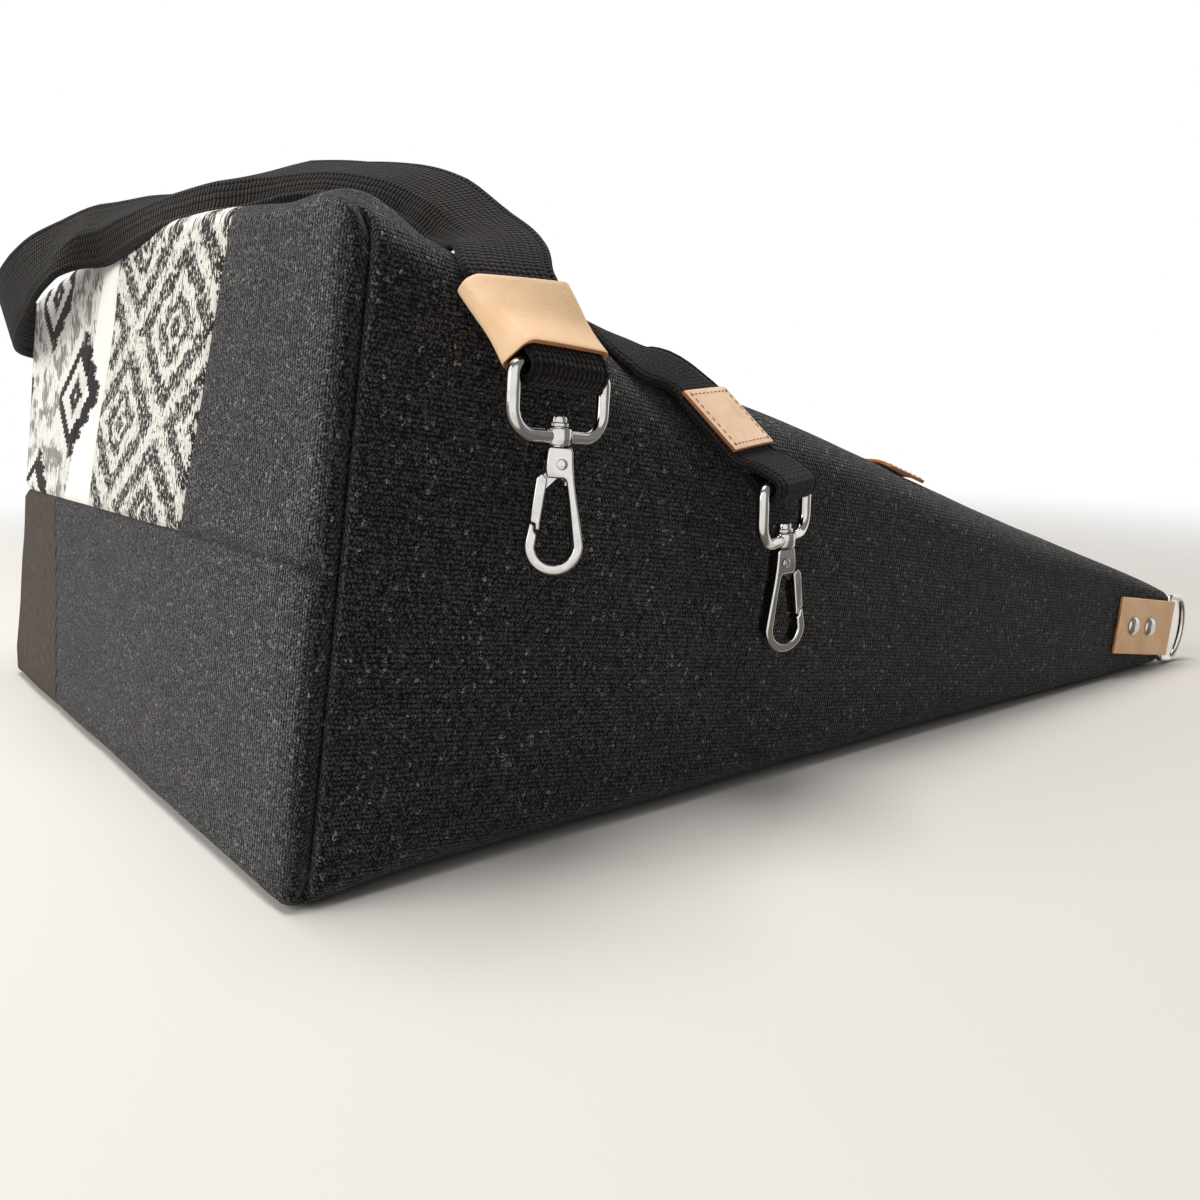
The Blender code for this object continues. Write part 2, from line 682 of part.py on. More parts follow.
def make_tab(name, side, group, finishes):
    edge, towards, outward = side_frame(side)
    radius = TAB_INNER_RADIUS + LEATHER / 2
    middle = edge - outward * WALL / 2
    shape = [(-TAB_LEAF, radius), (-TAB_LEAF * 0.5, radius), (0.0, radius)]
    for k in range(TAB_BEND_STEPS + 1):
        angle = pi / 2 - pi * k / TAB_BEND_STEPS
        shape.append((RING_CENTRE + radius * cos(angle), radius * sin(angle)))
    shape += [(0.0, -radius), (-TAB_INNER_LEAF * 0.5, -radius), (-TAB_INNER_LEAF, -radius)]
    route = [(middle + towards * a + outward * n, FRONT, 1.0) for a, n in shape]
    return ribbon(name, route, TAB_WIDTH, LEATHER, finishes["leather"], group)


def turned(name, profile, finish, group, steps=16):
    """A turned solid: a profile of (radius, height) points from top to bottom, at +X."""
    data = bpy.data.meshes.new(name)
    data.from_pydata([(r, 0.0, z) for r, z in profile], [(k, k + 1) for k in range(len(profile) - 1)], [])
    piece = bpy.data.objects.new(name, data)
    group.objects.link(piece)
    if finish:
        data.materials.append(finish)
    screw = piece.modifiers.new("turn", "SCREW")
    screw.steps = steps
    screw.render_steps = steps
    screw.use_merge_vertices = True
    screw.merge_threshold = 0.00001
    screw.use_smooth_shade = True
    return piece


def placed(piece, at, along):
    """Stand a turned piece at a point, with its own Z along the given direction."""
    piece.matrix_world = Matrix.Translation(at) @ along.to_track_quat("Z", "Y").to_matrix().to_4x4()
    return piece


def cut(piece, cutter):
    hole = piece.modifiers.new("hole", "BOOLEAN")
    hole.operation = "DIFFERENCE"
    hole.solver = "EXACT"
    hole.object = cutter


def as_cutter(piece):
    piece.hide_render = True
    piece.display_type = "WIRE"
    return piece


def make_rivets(side_name, side, tab, walls, group, cutters, finishes):
    """Two rivets through a tab's leaves, the cloth and the lining."""
    edge, towards, outward = side_frame(side)
    outer = TOUCH_GAP + LEATHER + WALL / 2 + (TAB_INNER_RADIUS - WALL / 2 - TOUCH_GAP)
    face = outer + TOUCH_GAP
    shaft = RIVET_SHAFT / 2
    cap = RIVET_CAP / 2
    for number, reach in enumerate(RIVET_PLACES, start=1):
        at = edge - towards * reach - outward * WALL / 2
        profile = [(0.0, face + RIVET_DOME), (cap * 0.5, face + RIVET_DOME * 0.85),
                   (cap * 0.85, face + RIVET_DOME * 0.45), (cap, face + 0.0002), (cap * 0.96, face),
                   (shaft, face), (shaft, -face), (cap * 0.86, -face), (cap * 0.86, -face - 0.0006),
                   (0.0, -face - 0.0009)]
        rivet = turned(f"tab_rivet_{side_name}_{number}", profile, finishes["nickel"], group)
        placed(rivet, at, outward)
        hole = shaft + RIVET_CLEARANCE
        cutter = turned(f"hole_{side_name}_{number}", [(0.0, 0.02), (hole, 0.02), (hole, -0.02), (0.0, -0.02)],
                        None, cutters)
        as_cutter(placed(cutter, at, outward))
        for piece in [tab] + walls:
            cut(piece, cutter)


def wire_loop(name, points, wire, finish, group, sides=2):
    """A closed loop of round wire through the points."""
    data = bpy.data.curves.new(name, "CURVE")
    data.dimensions = "3D"
    data.bevel_depth = wire / 2
    data.bevel_resolution = sides
    spline = data.splines.new("POLY")
    spline.points.add(len(points) - 1)
    for target, point in zip(spline.points, points):
        target.co = (*point, 1.0)
    spline.use_cyclic_u = True
    piece = bpy.data.objects.new(name, data)
    group.objects.link(piece)
    data.materials.append(finish)
    return piece


def arc_points(centre_a, centre_b, radius, start, stop, steps):
    return [(centre_a + radius * cos(mix(start, stop, k / steps)), centre_b + radius * sin(mix(start, stop, k / steps)))
            for k in range(steps + 1)]


def make_ring(name, side, group, finishes):
    """A D-ring whose straight bar lies in the tab's fold; its own Z is the bar, its X the reach."""
    edge, towards, outward = side_frame(side)
    half = (RING_INNER_WIDTH + RING_WIRE) / 2
    shape = arc_points(RING_CORNER, -half + RING_CORNER, RING_CORNER, -pi, -pi / 2, 3)
    shape += [(RING_REACH * 0.45, -half)]
    for k in range(1, 12):
        angle = -pi / 2 + pi * k / 12
        shape.append((RING_REACH * (0.45 + 0.55 * cos(angle)), half * sin(angle)))
    shape += [(RING_REACH * 0.45, half)]
    shape += arc_points(RING_CORNER, half - RING_CORNER, RING_CORNER, pi / 2, pi, 3)
    points = [Vector((a, 0.0, b)) for a, b in shape]
    ring = wire_loop(name, points, RING_WIRE, finishes["nickel"], group, sides=3)
    turn = Matrix((towards, FRONT.cross(towards), FRONT)).transposed().to_4x4()
    at = edge + towards * RING_CENTRE - outward * WALL / 2
    ring.matrix_world = Matrix.Translation(at) @ turn
    return ring


# Swivel clips; a clip's own frame has X along the eye's bar, Y into the bag and Z up its post

def to_mesh(piece, group):
    """The evaluated mesh of a curve in the curve's place, with its caps welded."""
    bpy.context.view_layer.update()
    graph = bpy.context.evaluated_depsgraph_get()
    data = bpy.data.meshes.new_from_object(piece.evaluated_get(graph))
    data.name = piece.name
    work = bmesh.new()
    work.from_mesh(data)
    bmesh.ops.remove_doubles(work, verts=work.verts, dist=0.000005)
    work.to_mesh(data)
    work.free()
    name = piece.name
    place = piece.matrix_world.copy()
    bpy.data.objects.remove(piece, do_unlink=True)
    solid = bpy.data.objects.new(name, data)
    group.objects.link(solid)
    solid.matrix_world = place
    return solid


def flat_outline(name, loops, thickness, finish, group):
    """A flat plate from closed outlines in the clip's XZ plane, centred on Y = 0; inner loops are holes."""
    data = bpy.data.curves.new(name, "CURVE")
    data.dimensions = "2D"
    data.fill_mode = "BOTH"
    data.extrude = thickness / 2
    for loop in loops:
        spline = data.splines.new("POLY")
        spline.points.add(len(loop) - 1)
        for target, (x, z) in zip(spline.points, loop):
            target.co = (x, z, 0.0, 1.0)
        spline.use_cyclic_u = True
    piece = bpy.data.objects.new(name, data)
    group.objects.link(piece)
    piece.matrix_world = Matrix.Rotation(pi / 2, 4, "X")
    solid = to_mesh(piece, group)
    solid.data.transform(solid.matrix_world)
    solid.matrix_world = Matrix.Identity(4)
    if finish:
        solid.data.materials.append(finish)
    return solid


def box_cutter(name, low, high, group):
    data = bpy.data.meshes.new(name)
    work = bmesh.new()
    bmesh.ops.create_cube(work, size=1.0)
    size = Vector(high) - Vector(low)
    middle = (Vector(high) + Vector(low)) / 2
    bmesh.ops.scale(work, vec=size, verts=work.verts)
    bmesh.ops.translate(work, vec=middle, verts=work.verts)
    work.to_mesh(data)
    work.free()
    piece = bpy.data.objects.new(name, data)
    group.objects.link(piece)
    return as_cutter(piece)


def rod_cutter(name, radius, low, high, group, place=None):
    piece = turned(name, [(0.0, high), (radius, high), (radius, low), (0.0, low)], None, group)
    if place:
        piece.matrix_world = place
    return as_cutter(piece)


def joined(piece, other):
    union = piece.modifiers.new("join", "BOOLEAN")
    union.operation = "UNION"
    union.solver = "EXACT"
    union.object = other
    as_cutter(other)


def soften(piece, width=EDGE_BEVEL):
    edge = piece.modifiers.new("edge", "BEVEL")
    edge.width = width
    edge.segments = 1
    edge.limit_method = "ANGLE"
    edge.angle_limit = radians(50)


HOOK_TOP = EYE_DROP + BOSS_HEIGHT / 2 + SWIVEL_CLEARANCE
PIN_AT = (PIN_SIDE, -HOOK_TOP - PIN_DROP)
BULB_RADIUS = HOOK_OUTER_WIDTH / 2
BULB_CENTRE = -HOOK_TOP - HOOK_LENGTH + BULB_RADIUS
INNER_RADIUS = BULB_RADIUS - HOOK_BEND + 0.0003
SPLIT_LEVEL = -HOOK_TOP - GATE_SPLIT


def outer_side(level, side):
    """The hook's outer outline beside its long opening: from the neck out to the bulb."""
    t = (level + HOOK_TOP) / (BULB_CENTRE + HOOK_TOP)
    return side * mix(HOOK_NECK_WIDTH / 2, BULB_RADIUS, ease(0.0, 1.35, t) / ease(0.0, 1.35, 1.0))


def opening_side(level, side):
    t = (level + HOOK_TOP + HOUSING_HEIGHT) / (BULB_CENTRE + HOOK_TOP + HOUSING_HEIGHT)
    return side * mix(OPENING_TOP_WIDTH / 2, INNER_RADIUS, t)


def hook_outline():
    """Outline of the hook without its gate: spine, bend and nose, and the housing over the pin."""
    top = -HOOK_TOP
    under = -HOOK_TOP - HOUSING_HEIGHT
    neck = HOOK_NECK_WIDTH / 2
    levels = [mix(top, BULB_CENTRE, k / 6) for k in range(1, 6)]
    shape = [(-neck * 0.72, top), (neck * 0.9, top)]
    shape += [(outer_side(z, 1), z) for z in levels]
    shape += arc_points(0.0, BULB_CENTRE, BULB_RADIUS, 0.0, -pi, 14)
    nose_step = (outer_side(SPLIT_LEVEL, -1) + opening_side(SPLIT_LEVEL, -1)) / 2
    shape += [(outer_side(SPLIT_LEVEL, -1), SPLIT_LEVEL), (nose_step, SPLIT_LEVEL - 0.0006),
              (nose_step, SPLIT_LEVEL - GATE_LAP),
              (opening_side(SPLIT_LEVEL - GATE_LAP, -1), SPLIT_LEVEL - GATE_LAP - 0.0010)]
    shape += arc_points(0.0, BULB_CENTRE, INNER_RADIUS, -pi, 0.0, 10)[1:]
    shape += [(opening_side(z, 1), z) for z in reversed(levels[3:])]
    shape += [(OPENING_TOP_WIDTH / 2, under - 0.0012), (OPENING_TOP_WIDTH / 2 - 0.0012, under)]
    shape += [(-OPENING_TOP_WIDTH / 2 - 0.0004, under), (-neck * 0.86, under + 0.0030)]
    return shape


def gate_outline():
    """Outline of the gate's bar, from under the housing to its lap over the nose."""
    gap = GATE_CLEARANCE
    top = -HOOK_TOP - HOUSING_HEIGHT - gap
    nose_step = (outer_side(SPLIT_LEVEL, -1) + opening_side(SPLIT_LEVEL, -1)) / 2
    inner = OPENING_TOP_WIDTH / 2
    return [(-inner - 0.0001, top), (-inner - 0.0004 - GATE_WIDTH * 0.5, top + 0.0016),
            (outer_side(top, -1) - 0.0012, top), (outer_side(SPLIT_LEVEL, -1), SPLIT_LEVEL + gap),
            (nose_step + gap, SPLIT_LEVEL - 0.0006 + gap), (nose_step + gap, SPLIT_LEVEL - GATE_LAP + gap),
            (opening_side(SPLIT_LEVEL, -1) + 0.0003, SPLIT_LEVEL - GATE_LAP + gap),
            (opening_side(SPLIT_LEVEL, -1) + 0.0003, SPLIT_LEVEL)]


def make_clip(prefix, at, turn, dip, swivel, group, cutters, finishes):
    """One swivel clip of five pieces, hung under the middle of its bar."""
    nickel = finishes["nickel"]
    bar, inward, up = bar_frame(turn, dip)
    frame = Matrix.Translation(at) @ Matrix((bar, inward, up)).transposed().to_4x4()
    hang = bpy.data.objects.new(f"{prefix}_hang", None)
    group.objects.link(hang)
    hang.matrix_world = frame
    post = bpy.data.objects.new(f"{prefix}_post", None)
    group.objects.link(post)
    post.parent = hang
    post.rotation_euler = (0.0, 0.0, swivel)

    half = (EYE_INNER_WIDTH + EYE_WIRE) / 2
    inner = half - EYE_CORNER
    top = half - EYE_TOP_CORNER
    shape = arc_points(top, -EYE_TOP_CORNER, EYE_TOP_CORNER, pi / 2, 0.0, 4)
    shape += arc_points(inner, -EYE_DROP + EYE_CORNER, EYE_CORNER, 0.0, -pi / 2, 6)
    shape += [(-x, z) for x, z in reversed(shape)]
    eye = wire_loop(f"{prefix}_eye", [Vector((x, 0.0, z)) for x, z in shape], EYE_WIRE, nickel, group)
    eye = to_mesh(eye, group)
    boss = turned(f"{prefix}_boss", [
        (0.0, -EYE_DROP + BOSS_HEIGHT / 2), (BOSS_DIAMETER / 2, -EYE_DROP + BOSS_HEIGHT / 2),
        (BOSS_DIAMETER / 2, -EYE_DROP - BOSS_HEIGHT / 2), (0.0, -EYE_DROP - BOSS_HEIGHT / 2)], nickel, cutters)
    joined(eye, boss)
    bore = rod_cutter(f"{prefix}_bore", POST_DIAMETER / 2 + SWIVEL_CLEARANCE, -EYE_DROP - BOSS_HEIGHT,
                      -EYE_DROP + BOSS_HEIGHT, cutters)
    cut(eye, bore)

    hook = flat_outline(f"{prefix}_hook", [hook_outline()], HOOK_THICKNESS, nickel, group)
    soften(hook)
    shank = POST_DIAMETER / 2
    head = -EYE_DROP + BOSS_HEIGHT / 2 + SWIVEL_CLEARANCE
    stem = turned(f"{prefix}_stem", [
        (0.0, head + POST_HEAD + POST_TIP), (POST_TIP_DIAMETER / 2 - 0.0004, head + POST_HEAD + POST_TIP),
        (POST_TIP_DIAMETER / 2, head + POST_HEAD + POST_TIP - 0.0004), (POST_TIP_DIAMETER / 2, head + POST_HEAD),
        (POST_HEAD_DIAMETER / 2, head + POST_HEAD), (POST_HEAD_DIAMETER / 2, head), (shank, head),
        (shank, -HOOK_TOP - 0.0010), (0.0, -HOOK_TOP - 0.0010)], nickel, cutters)
    joined(hook, stem)
    slot_end = PIN_SIDE + EAR_RADIUS + 0.0004
    slot = box_cutter(f"{prefix}_slot", (-0.010, -SLOT_WIDTH / 2, -HOOK_TOP - HOUSING_HEIGHT - 0.002),
                      (slot_end, SLOT_WIDTH / 2, -HOOK_TOP - 0.0017), cutters)
    cut(hook, slot)
    pin_place = Matrix.Translation((PIN_AT[0], 0.0, PIN_AT[1])) @ Matrix.Rotation(-pi / 2, 4, "X")
    pin_hole = rod_cutter(f"{prefix}_pin_hole", PIN_DIAMETER / 2 + SWIVEL_CLEARANCE, -0.006, 0.006, cutters, pin_place)
    cut(hook, pin_hole)

    gate = flat_outline(f"{prefix}_gate", [gate_outline()], HOOK_THICKNESS, nickel, group)
    soften(gate, EDGE_BEVEL * 0.8)
    ear_low = -SLOT_WIDTH / 2 + 0.0002
    ear_loop = arc_points(PIN_AT[0], PIN_AT[1], EAR_RADIUS, -0.25 * pi, 0.72 * pi, 9)
    ear_loop += [(-OPENING_TOP_WIDTH / 2 - GATE_WIDTH * 0.95, -HOOK_TOP - HOUSING_HEIGHT - 0.0016),
                 (-OPENING_TOP_WIDTH / 2 - 0.0003, -HOOK_TOP - HOUSING_HEIGHT - 0.0030)]
    ear = flat_outline(f"{prefix}_ear", [ear_loop], EAR_THICKNESS, nickel, cutters)
    ear.location.y = ear_low + EAR_THICKNESS / 2
    joined(gate, ear)
    cut(gate, pin_hole)

    reach = HOOK_THICKNESS / 2 + 0.0002
    pin = turned(f"{prefix}_pin", [
        (0.0, reach + PIN_HEAD), (PIN_HEAD_DIAMETER / 2 - 0.0003, reach + PIN_HEAD),
        (PIN_HEAD_DIAMETER / 2, reach + PIN_HEAD * 0.4), (PIN_HEAD_DIAMETER / 2, reach),
        (PIN_DIAMETER / 2, reach), (PIN_DIAMETER / 2, -reach), (PIN_HEAD_DIAMETER / 2, -reach),
        (PIN_HEAD_DIAMETER / 2, -reach - PIN_HEAD * 0.4), (PIN_HEAD_DIAMETER / 2 - 0.0003, -reach - PIN_HEAD),
        (0.0, -reach - PIN_HEAD)], nickel, group, steps=12)
    pin.matrix_world = pin_place

    spring = make_spring(f"{prefix}_spring", ear_low + EAR_THICKNESS, finishes["steel"], group)

    eye.parent = hang
    for piece in (hook, pin, gate, spring, slot, pin_hole, stem, ear):
        piece.parent = post
    for piece in (boss, bore):
        piece.parent = hang
    return {"eye": eye, "hook": hook, "gate": gate, "pin": pin, "spring": spring}


def make_spring(name, start, finish, group):
    """The gate's torsion spring: a short coil on the pin, with one leg on the hook and one on the gate."""
    radius = PIN_DIAMETER / 2 + 0.0003 + SPRING_WIRE / 2
    first = start + 0.0002 + SPRING_WIRE / 2
    points = []
    gate_way = radians(236)
    hook_way = radians(262)
    steps = 10 * SPRING_TURNS
    sweep = 2 * pi * SPRING_TURNS + hook_way - gate_way
    for k in range(steps + 1):
        angle = gate_way + pi / 2 + sweep * k / steps - pi
        height = first + SPRING_PITCH * SPRING_TURNS * k / steps
        points.append((PIN_AT[0] + radius * cos(angle), height, PIN_AT[1] + radius * sin(angle)))
    leg = 0.0028
    start_way = Vector((points[0][0] - points[1][0], 0.0, points[0][2] - points[1][2])).normalized()
    end_way = Vector((points[-1][0] - points[-2][0], 0.0, points[-1][2] - points[-2][2])).normalized()
    points.insert(0, tuple(Vector(points[0]) + start_way * leg * 0.35))
    points.append(tuple(Vector(points[-1]) + end_way * leg * 0.35))
    data = bpy.data.curves.new(name, "CURVE")
    data.dimensions = "3D"
    data.bevel_depth = SPRING_WIRE / 2
    data.bevel_resolution = 1
    data.use_fill_caps = True
    spline = data.splines.new("POLY")
    spline.points.add(len(points) - 1)
    for target, point in zip(spline.points, points):
        target.co = (*point, 1.0)
    piece = bpy.data.objects.new(name, data)
    group.objects.link(piece)
    data.materials.append(finish)
    return piece


def main():
    clear_scene()
    group = new_collection("tote_bag")
    cutters = new_collection("cutters")
    finishes = {
        "charcoal": material("charcoal cloth", CHARCOAL, 0.95),
        "ikat": material("woven ikat", IKAT_GREY, 0.90),
        "white": material("off-white cotton", OFF_WHITE, 0.90),
        "corduroy": material("brown corduroy", DARK_BROWN, 0.95),
        "navy": material("navy lining", NAVY, 0.80),
        "leather": material("natural leather", TAN, 0.55),
        "webbing": material("black webbing", WEBBING, 0.90),
        "nickel": material("polished nickel", NICKEL, 0.12, 1.0),
        "steel": material("spring steel", NICKEL, 0.35, 1.0),
    }
    bag = make_bag(group, finishes)
    make_strap(group, finishes)
    make_label(group, finishes)
    for side_name, side, wall in (("near", -1, "charcoal_body"), ("far", 1, "far_side_panel")):
        tab = make_tab(f"ring_tab_{side_name}", side, group, finishes)
        make_ring(f"ring_{side_name}", side, group, finishes)
        make_rivets(side_name, side, tab, [bag[wall], bag["lining"]], group, cutters, finishes)
    make_clip("base_clip", BASE_CLIP_AT, BASE_CLIP_TURN, BASE_CLIP_DIP, BASE_HOOK_SWIVEL, group, cutters, finishes)
    make_clip("mouth_clip", MOUTH_CLIP_AT, MOUTH_CLIP_TURN, MOUTH_CLIP_DIP, MOUTH_HOOK_SWIVEL,
              group, cutters, finishes)


main()
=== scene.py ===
"""Looks of the tote bag: its cloth, webbing, leather and metal, with the floor, lights and camera.

The frame is the part's own: +X from the base to the mouth, +Y across the bag, +Z up, in metres.
"""

from contextlib import contextmanager
from itertools import product
from math import atan, cos, pi, radians, sin

import bmesh
import bpy
from mathutils import Matrix, Vector, kdtree, noise


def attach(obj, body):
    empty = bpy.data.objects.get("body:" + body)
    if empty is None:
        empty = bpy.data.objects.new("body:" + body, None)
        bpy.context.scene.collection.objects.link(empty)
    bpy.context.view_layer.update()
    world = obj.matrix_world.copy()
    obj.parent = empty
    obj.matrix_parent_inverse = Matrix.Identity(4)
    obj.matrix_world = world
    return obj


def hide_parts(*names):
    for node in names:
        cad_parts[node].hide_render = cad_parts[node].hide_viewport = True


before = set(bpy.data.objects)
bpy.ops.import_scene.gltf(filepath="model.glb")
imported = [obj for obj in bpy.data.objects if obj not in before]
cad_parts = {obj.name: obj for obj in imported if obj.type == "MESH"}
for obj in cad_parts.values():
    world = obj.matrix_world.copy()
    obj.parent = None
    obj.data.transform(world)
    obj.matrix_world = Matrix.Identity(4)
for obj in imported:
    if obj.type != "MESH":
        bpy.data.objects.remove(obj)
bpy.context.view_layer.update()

# Sizes of the part, as in its source
BASE_WIDTH = 0.340
BASE_DEPTH = 0.200
BAG_LENGTH = 0.464
MOUTH_DEPTH = 0.042
BASE_OFFSET = 0.232
CLOTH = 0.0018
LINING = 0.0008
LINING_CLEARANCE = 0.0006
LINING_PROUD = 0.004
TOUCH_GAP = 0.0003
FRONT_ROUND_AT_BASE = 0.010
FRONT_ROUND = 0.019
PRESSED_ROUND = 0.036
PRESSED_PLACE = 0.116
PRESSED_REACH = 0.075
MOUTH_ROUND = 0.005
BACK_ROUND_AT_BASE = 0.004
BACK_ROUND = 0.012
FRONT_FOLD = 0.007
BACK_FOLD = 0.003
FOLD_FADE = 0.030
CROWN = 0.0155
CROWN_FADE = (0.02, 0.12)
CHARCOAL_SEAM = (-0.063, -0.087)
IKAT_SEAM = (0.050, 0.026)
WHITE_SEAM = (0.089, 0.046)
CORDUROY_SEAM = (0.102, 0.077)
SEAM_SLOPE = -0.10
LEATHER = 0.0015
TAB_WIDTH = 0.030
TAB_LEAF = 0.052
TAB_INNER_LEAF = 0.046
RIVET_PLACES = (0.0205, 0.0375)
RIVET_SHAFT = 0.0034
RIVET_CAP = 0.010
RIVET_DOME = 0.0018
RING_WIRE = 0.0033
RING_INNER_WIDTH = 0.0320
RING_REACH = 0.0195
RING_CORNER = 0.003
LABEL_LENGTH = 0.022
LABEL_WIDTH = 0.030
LABEL_PLACE = 0.247
LABEL_INSET = 0.0205
STRAP_WIDTH = 0.030
STRAP = 0.0030
BAR_GAP = 0.0007
LAYERS_MEET = 0.015
BASE_OVERLAP = 0.030
MOUTH_OVERLAP = 0.009
SLEEVE_WIDTH = 0.0345
SLEEVE_REACH = (0.003, 0.026)
PATCH_LENGTH = 0.028
PATCH_WIDTH = 0.029
EYE_WIRE = 0.0043
EYE_INNER_WIDTH = 0.0315
EYE_DROP = 0.0190
EYE_CORNER = 0.0075
EYE_TOP_CORNER = 0.0035
BOSS_DIAMETER = 0.0084
BOSS_HEIGHT = 0.0050
POST_DIAMETER = 0.0038
POST_HEAD_DIAMETER = 0.0063
POST_HEAD = 0.0013
POST_TIP_DIAMETER = 0.0050
POST_TIP = 0.0018
SWIVEL_CLEARANCE = 0.0003
HOOK_THICKNESS = 0.0056
HOOK_LENGTH = 0.0372
HOOK_OUTER_WIDTH = 0.0176
HOOK_NECK_WIDTH = 0.0086
HOUSING_HEIGHT = 0.0090
HOOK_BEND = 0.0033
OPENING_TOP_WIDTH = 0.0056
GATE_WIDTH = 0.0031
GATE_SPLIT = 0.0220
GATE_LAP = 0.0024
GATE_CLEARANCE = 0.00025
PIN_DIAMETER = 0.0022
PIN_HEAD_DIAMETER = 0.0032
PIN_HEAD = 0.0004
PIN_SIDE = 0.0010
PIN_DROP = 0.0050
SLOT_WIDTH = 0.0034
EAR_THICKNESS = 0.0013
EAR_RADIUS = 0.0021
SPRING_WIRE = 0.00045
SPRING_TURNS = 2
SPRING_PITCH = 0.0006
SPRING_LEG = 0.0010
BASE_CLIP_AT = Vector((-0.1490, -0.1968, 0.1522))
BASE_CLIP_TURN = radians(3.7)
BASE_CLIP_DIP = radians(5.0)
BASE_STRAP_RISE = Vector((-0.265, 0.470, 0.844))
BASE_STRAP_SIDE = Vector((0.985, -0.150, 0.0))
MOUTH_CLIP_AT = Vector((-0.0625, -0.2130, 0.1153))
MOUTH_CLIP_TURN = radians(12.8)
MOUTH_CLIP_DIP = radians(-1.4)
MOUTH_STRAP_RISE = Vector((-0.42, 0.62, 0.66))
MOUTH_STRAP_SIDE = Vector((0.975, 0.215, 0.060))
PATCH_AT = Vector((-0.0738, -0.1947, 0.1361))
PATCH_RISE = Vector((-0.24, 0.66, 0.71))
BASE_HOOK_SWIVEL = radians(-30.0)
MOUTH_HOOK_SWIVEL = radians(155.0)
STRAP_ROUTE = (
    ((-0.1501, -0.1690, 0.1900), (0.98, -0.16, 0.10)),
    ((-0.1468, -0.1488, 0.1976), (0.91, -0.20, 0.36)),
    ((-0.1472, -0.1319, 0.2065), (0.84, -0.15, 0.52)),
    ((-0.1510, -0.1163, 0.2127), (0.84, 0.05, 0.54)),
    ((-0.1585, -0.0940, 0.2171), (0.82, 0.22, 0.52)),
    ((-0.1668, -0.0714, 0.2188), (0.74, 0.27, 0.61)),
    ((-0.1779, -0.0470, 0.2181), (0.84, 0.30, 0.45)),
    ((-0.1852, -0.0198, 0.2166), (0.86, 0.23, 0.46)),
    ((-0.1897, 0.0034, 0.2156), (0.77, 0.20, 0.60)),
    ((-0.1930, 0.0193, 0.2148), (0.64, 0.24, 0.73)),
    ((-0.1970, 0.0358, 0.2134), (0.50, 0.30, 0.81)),
    ((-0.2030, 0.0500, 0.2125), (0.42, 0.38, 0.82)),
    ((-0.2098, 0.0660, 0.2080), (0.30, 0.47, 0.83)),
    ((-0.2160, 0.0830, 0.2020), (0.12, 0.44, 0.88)),
    ((-0.2190, 0.1030, 0.1950), (-0.03, 0.36, 0.92)),
    ((-0.2195, 0.1250, 0.1885), (-0.10, 0.26, 0.95)),
    ((-0.2160, 0.1490, 0.1840), (-0.12, 0.18, 0.97)),
    ((-0.2070, 0.1730, 0.1815), (-0.08, 0.10, 0.99)),
    ((-0.1890, 0.1915, 0.1800), (0.00, 0.00, 1.00)),
    ((-0.1640, 0.2010, 0.1800), (0.00, -0.12, 0.99)),
    ((-0.1390, 0.1980, 0.1820), (-0.12, -0.22, 0.97)),
    ((-0.1190, 0.1820, 0.1835), (-0.38, -0.26, 0.89)),
    ((-0.1080, 0.1580, 0.1815), (-0.65, -0.16, 0.74)),
    ((-0.1040, 0.1300, 0.1795), (-0.84, -0.06, 0.54)),
    ((-0.1045, 0.1050, 0.1735), (-0.92, -0.02, 0.40)),
)
STRAP_REST = ((0.0965, 0.078), (0.0950, 0.050), (0.0930, 0.015), (0.0905, -0.035), (0.0895, -0.080),
              (0.0910, -0.112), (0.0955, -0.138))
STRAP_OVER_EDGE = (
    ((-0.1005, -0.1560, 0.1683), (-0.97, -0.07, 0.22)),
    ((-0.0920, -0.1745, 0.1612), (-0.97, -0.17, 0.10)),
)

# Fineness of the cloth, and the shape of a sewn seam in it
SEAM_STEPS = (0.0008, 0.0019, 0.0042)
SEAM_DEPTH = 0.0011
SEAM_REACH = 0.0026
EDGE_SEAM_DEPTH = 0.0042
EDGE_SEAM_REACH = 0.0050
SIDE_SEAM_PLACE = 0.0062
SIDE_SEAM_DEPTH = 0.0062
SIDE_SEAM_REACH = 0.0033
SOFT_CORE = 0.020
SOFT_EDGE = 0.0070
RAW_EDGE_ROUND = 0.00035
STITCH_INSET = 0.0022
SHOULDER = (0.0030, 0.0064)
SHOULDER_RISE = 0.014
SHOULDER_ACROSS = (0.122, 0.158)
SHOULDER_FADE = (0.018, 0.037)
SHELL = 0.0012
SIDE_SHARES = (0.88, 0.75, 0.62, 0.50, 0.38, 0.27, 0.17, 0.09, 0.045, 0.021, 0.009)
NEAR_FOLD = (0.022, 0.0155, 0.0118, 0.0100, 0.0086, 0.0076, 0.0069, 0.0062, 0.0055, 0.0048, 0.0038, 0.0026,
             0.0013)
STATIONS = 46
FOLD_STEPS = 7
SLACK = 0.0012
TIGHT_UNDER_STRAP = (0.016, 0.045)
EVEN_ROWS_END = NEAR_FOLD[0] + 0.008

MOUTH_FLARE = (BASE_DEPTH - MOUTH_DEPTH) / 2
WEDGE = atan(MOUTH_FLARE / BAG_LENGTH)
ALONG = Vector((cos(WEDGE), 0.0, -sin(WEDGE)))
ACROSS = Vector((0.0, 1.0, 0.0))
FRONT = Vector((sin(WEDGE), 0.0, cos(WEDGE)))
BASE_MIDDLE = FRONT * (BASE_DEPTH / 2) - Vector((BASE_OFFSET, 0.0, 0.0))
LINING_INSET = CLOTH + LINING_CLEARANCE


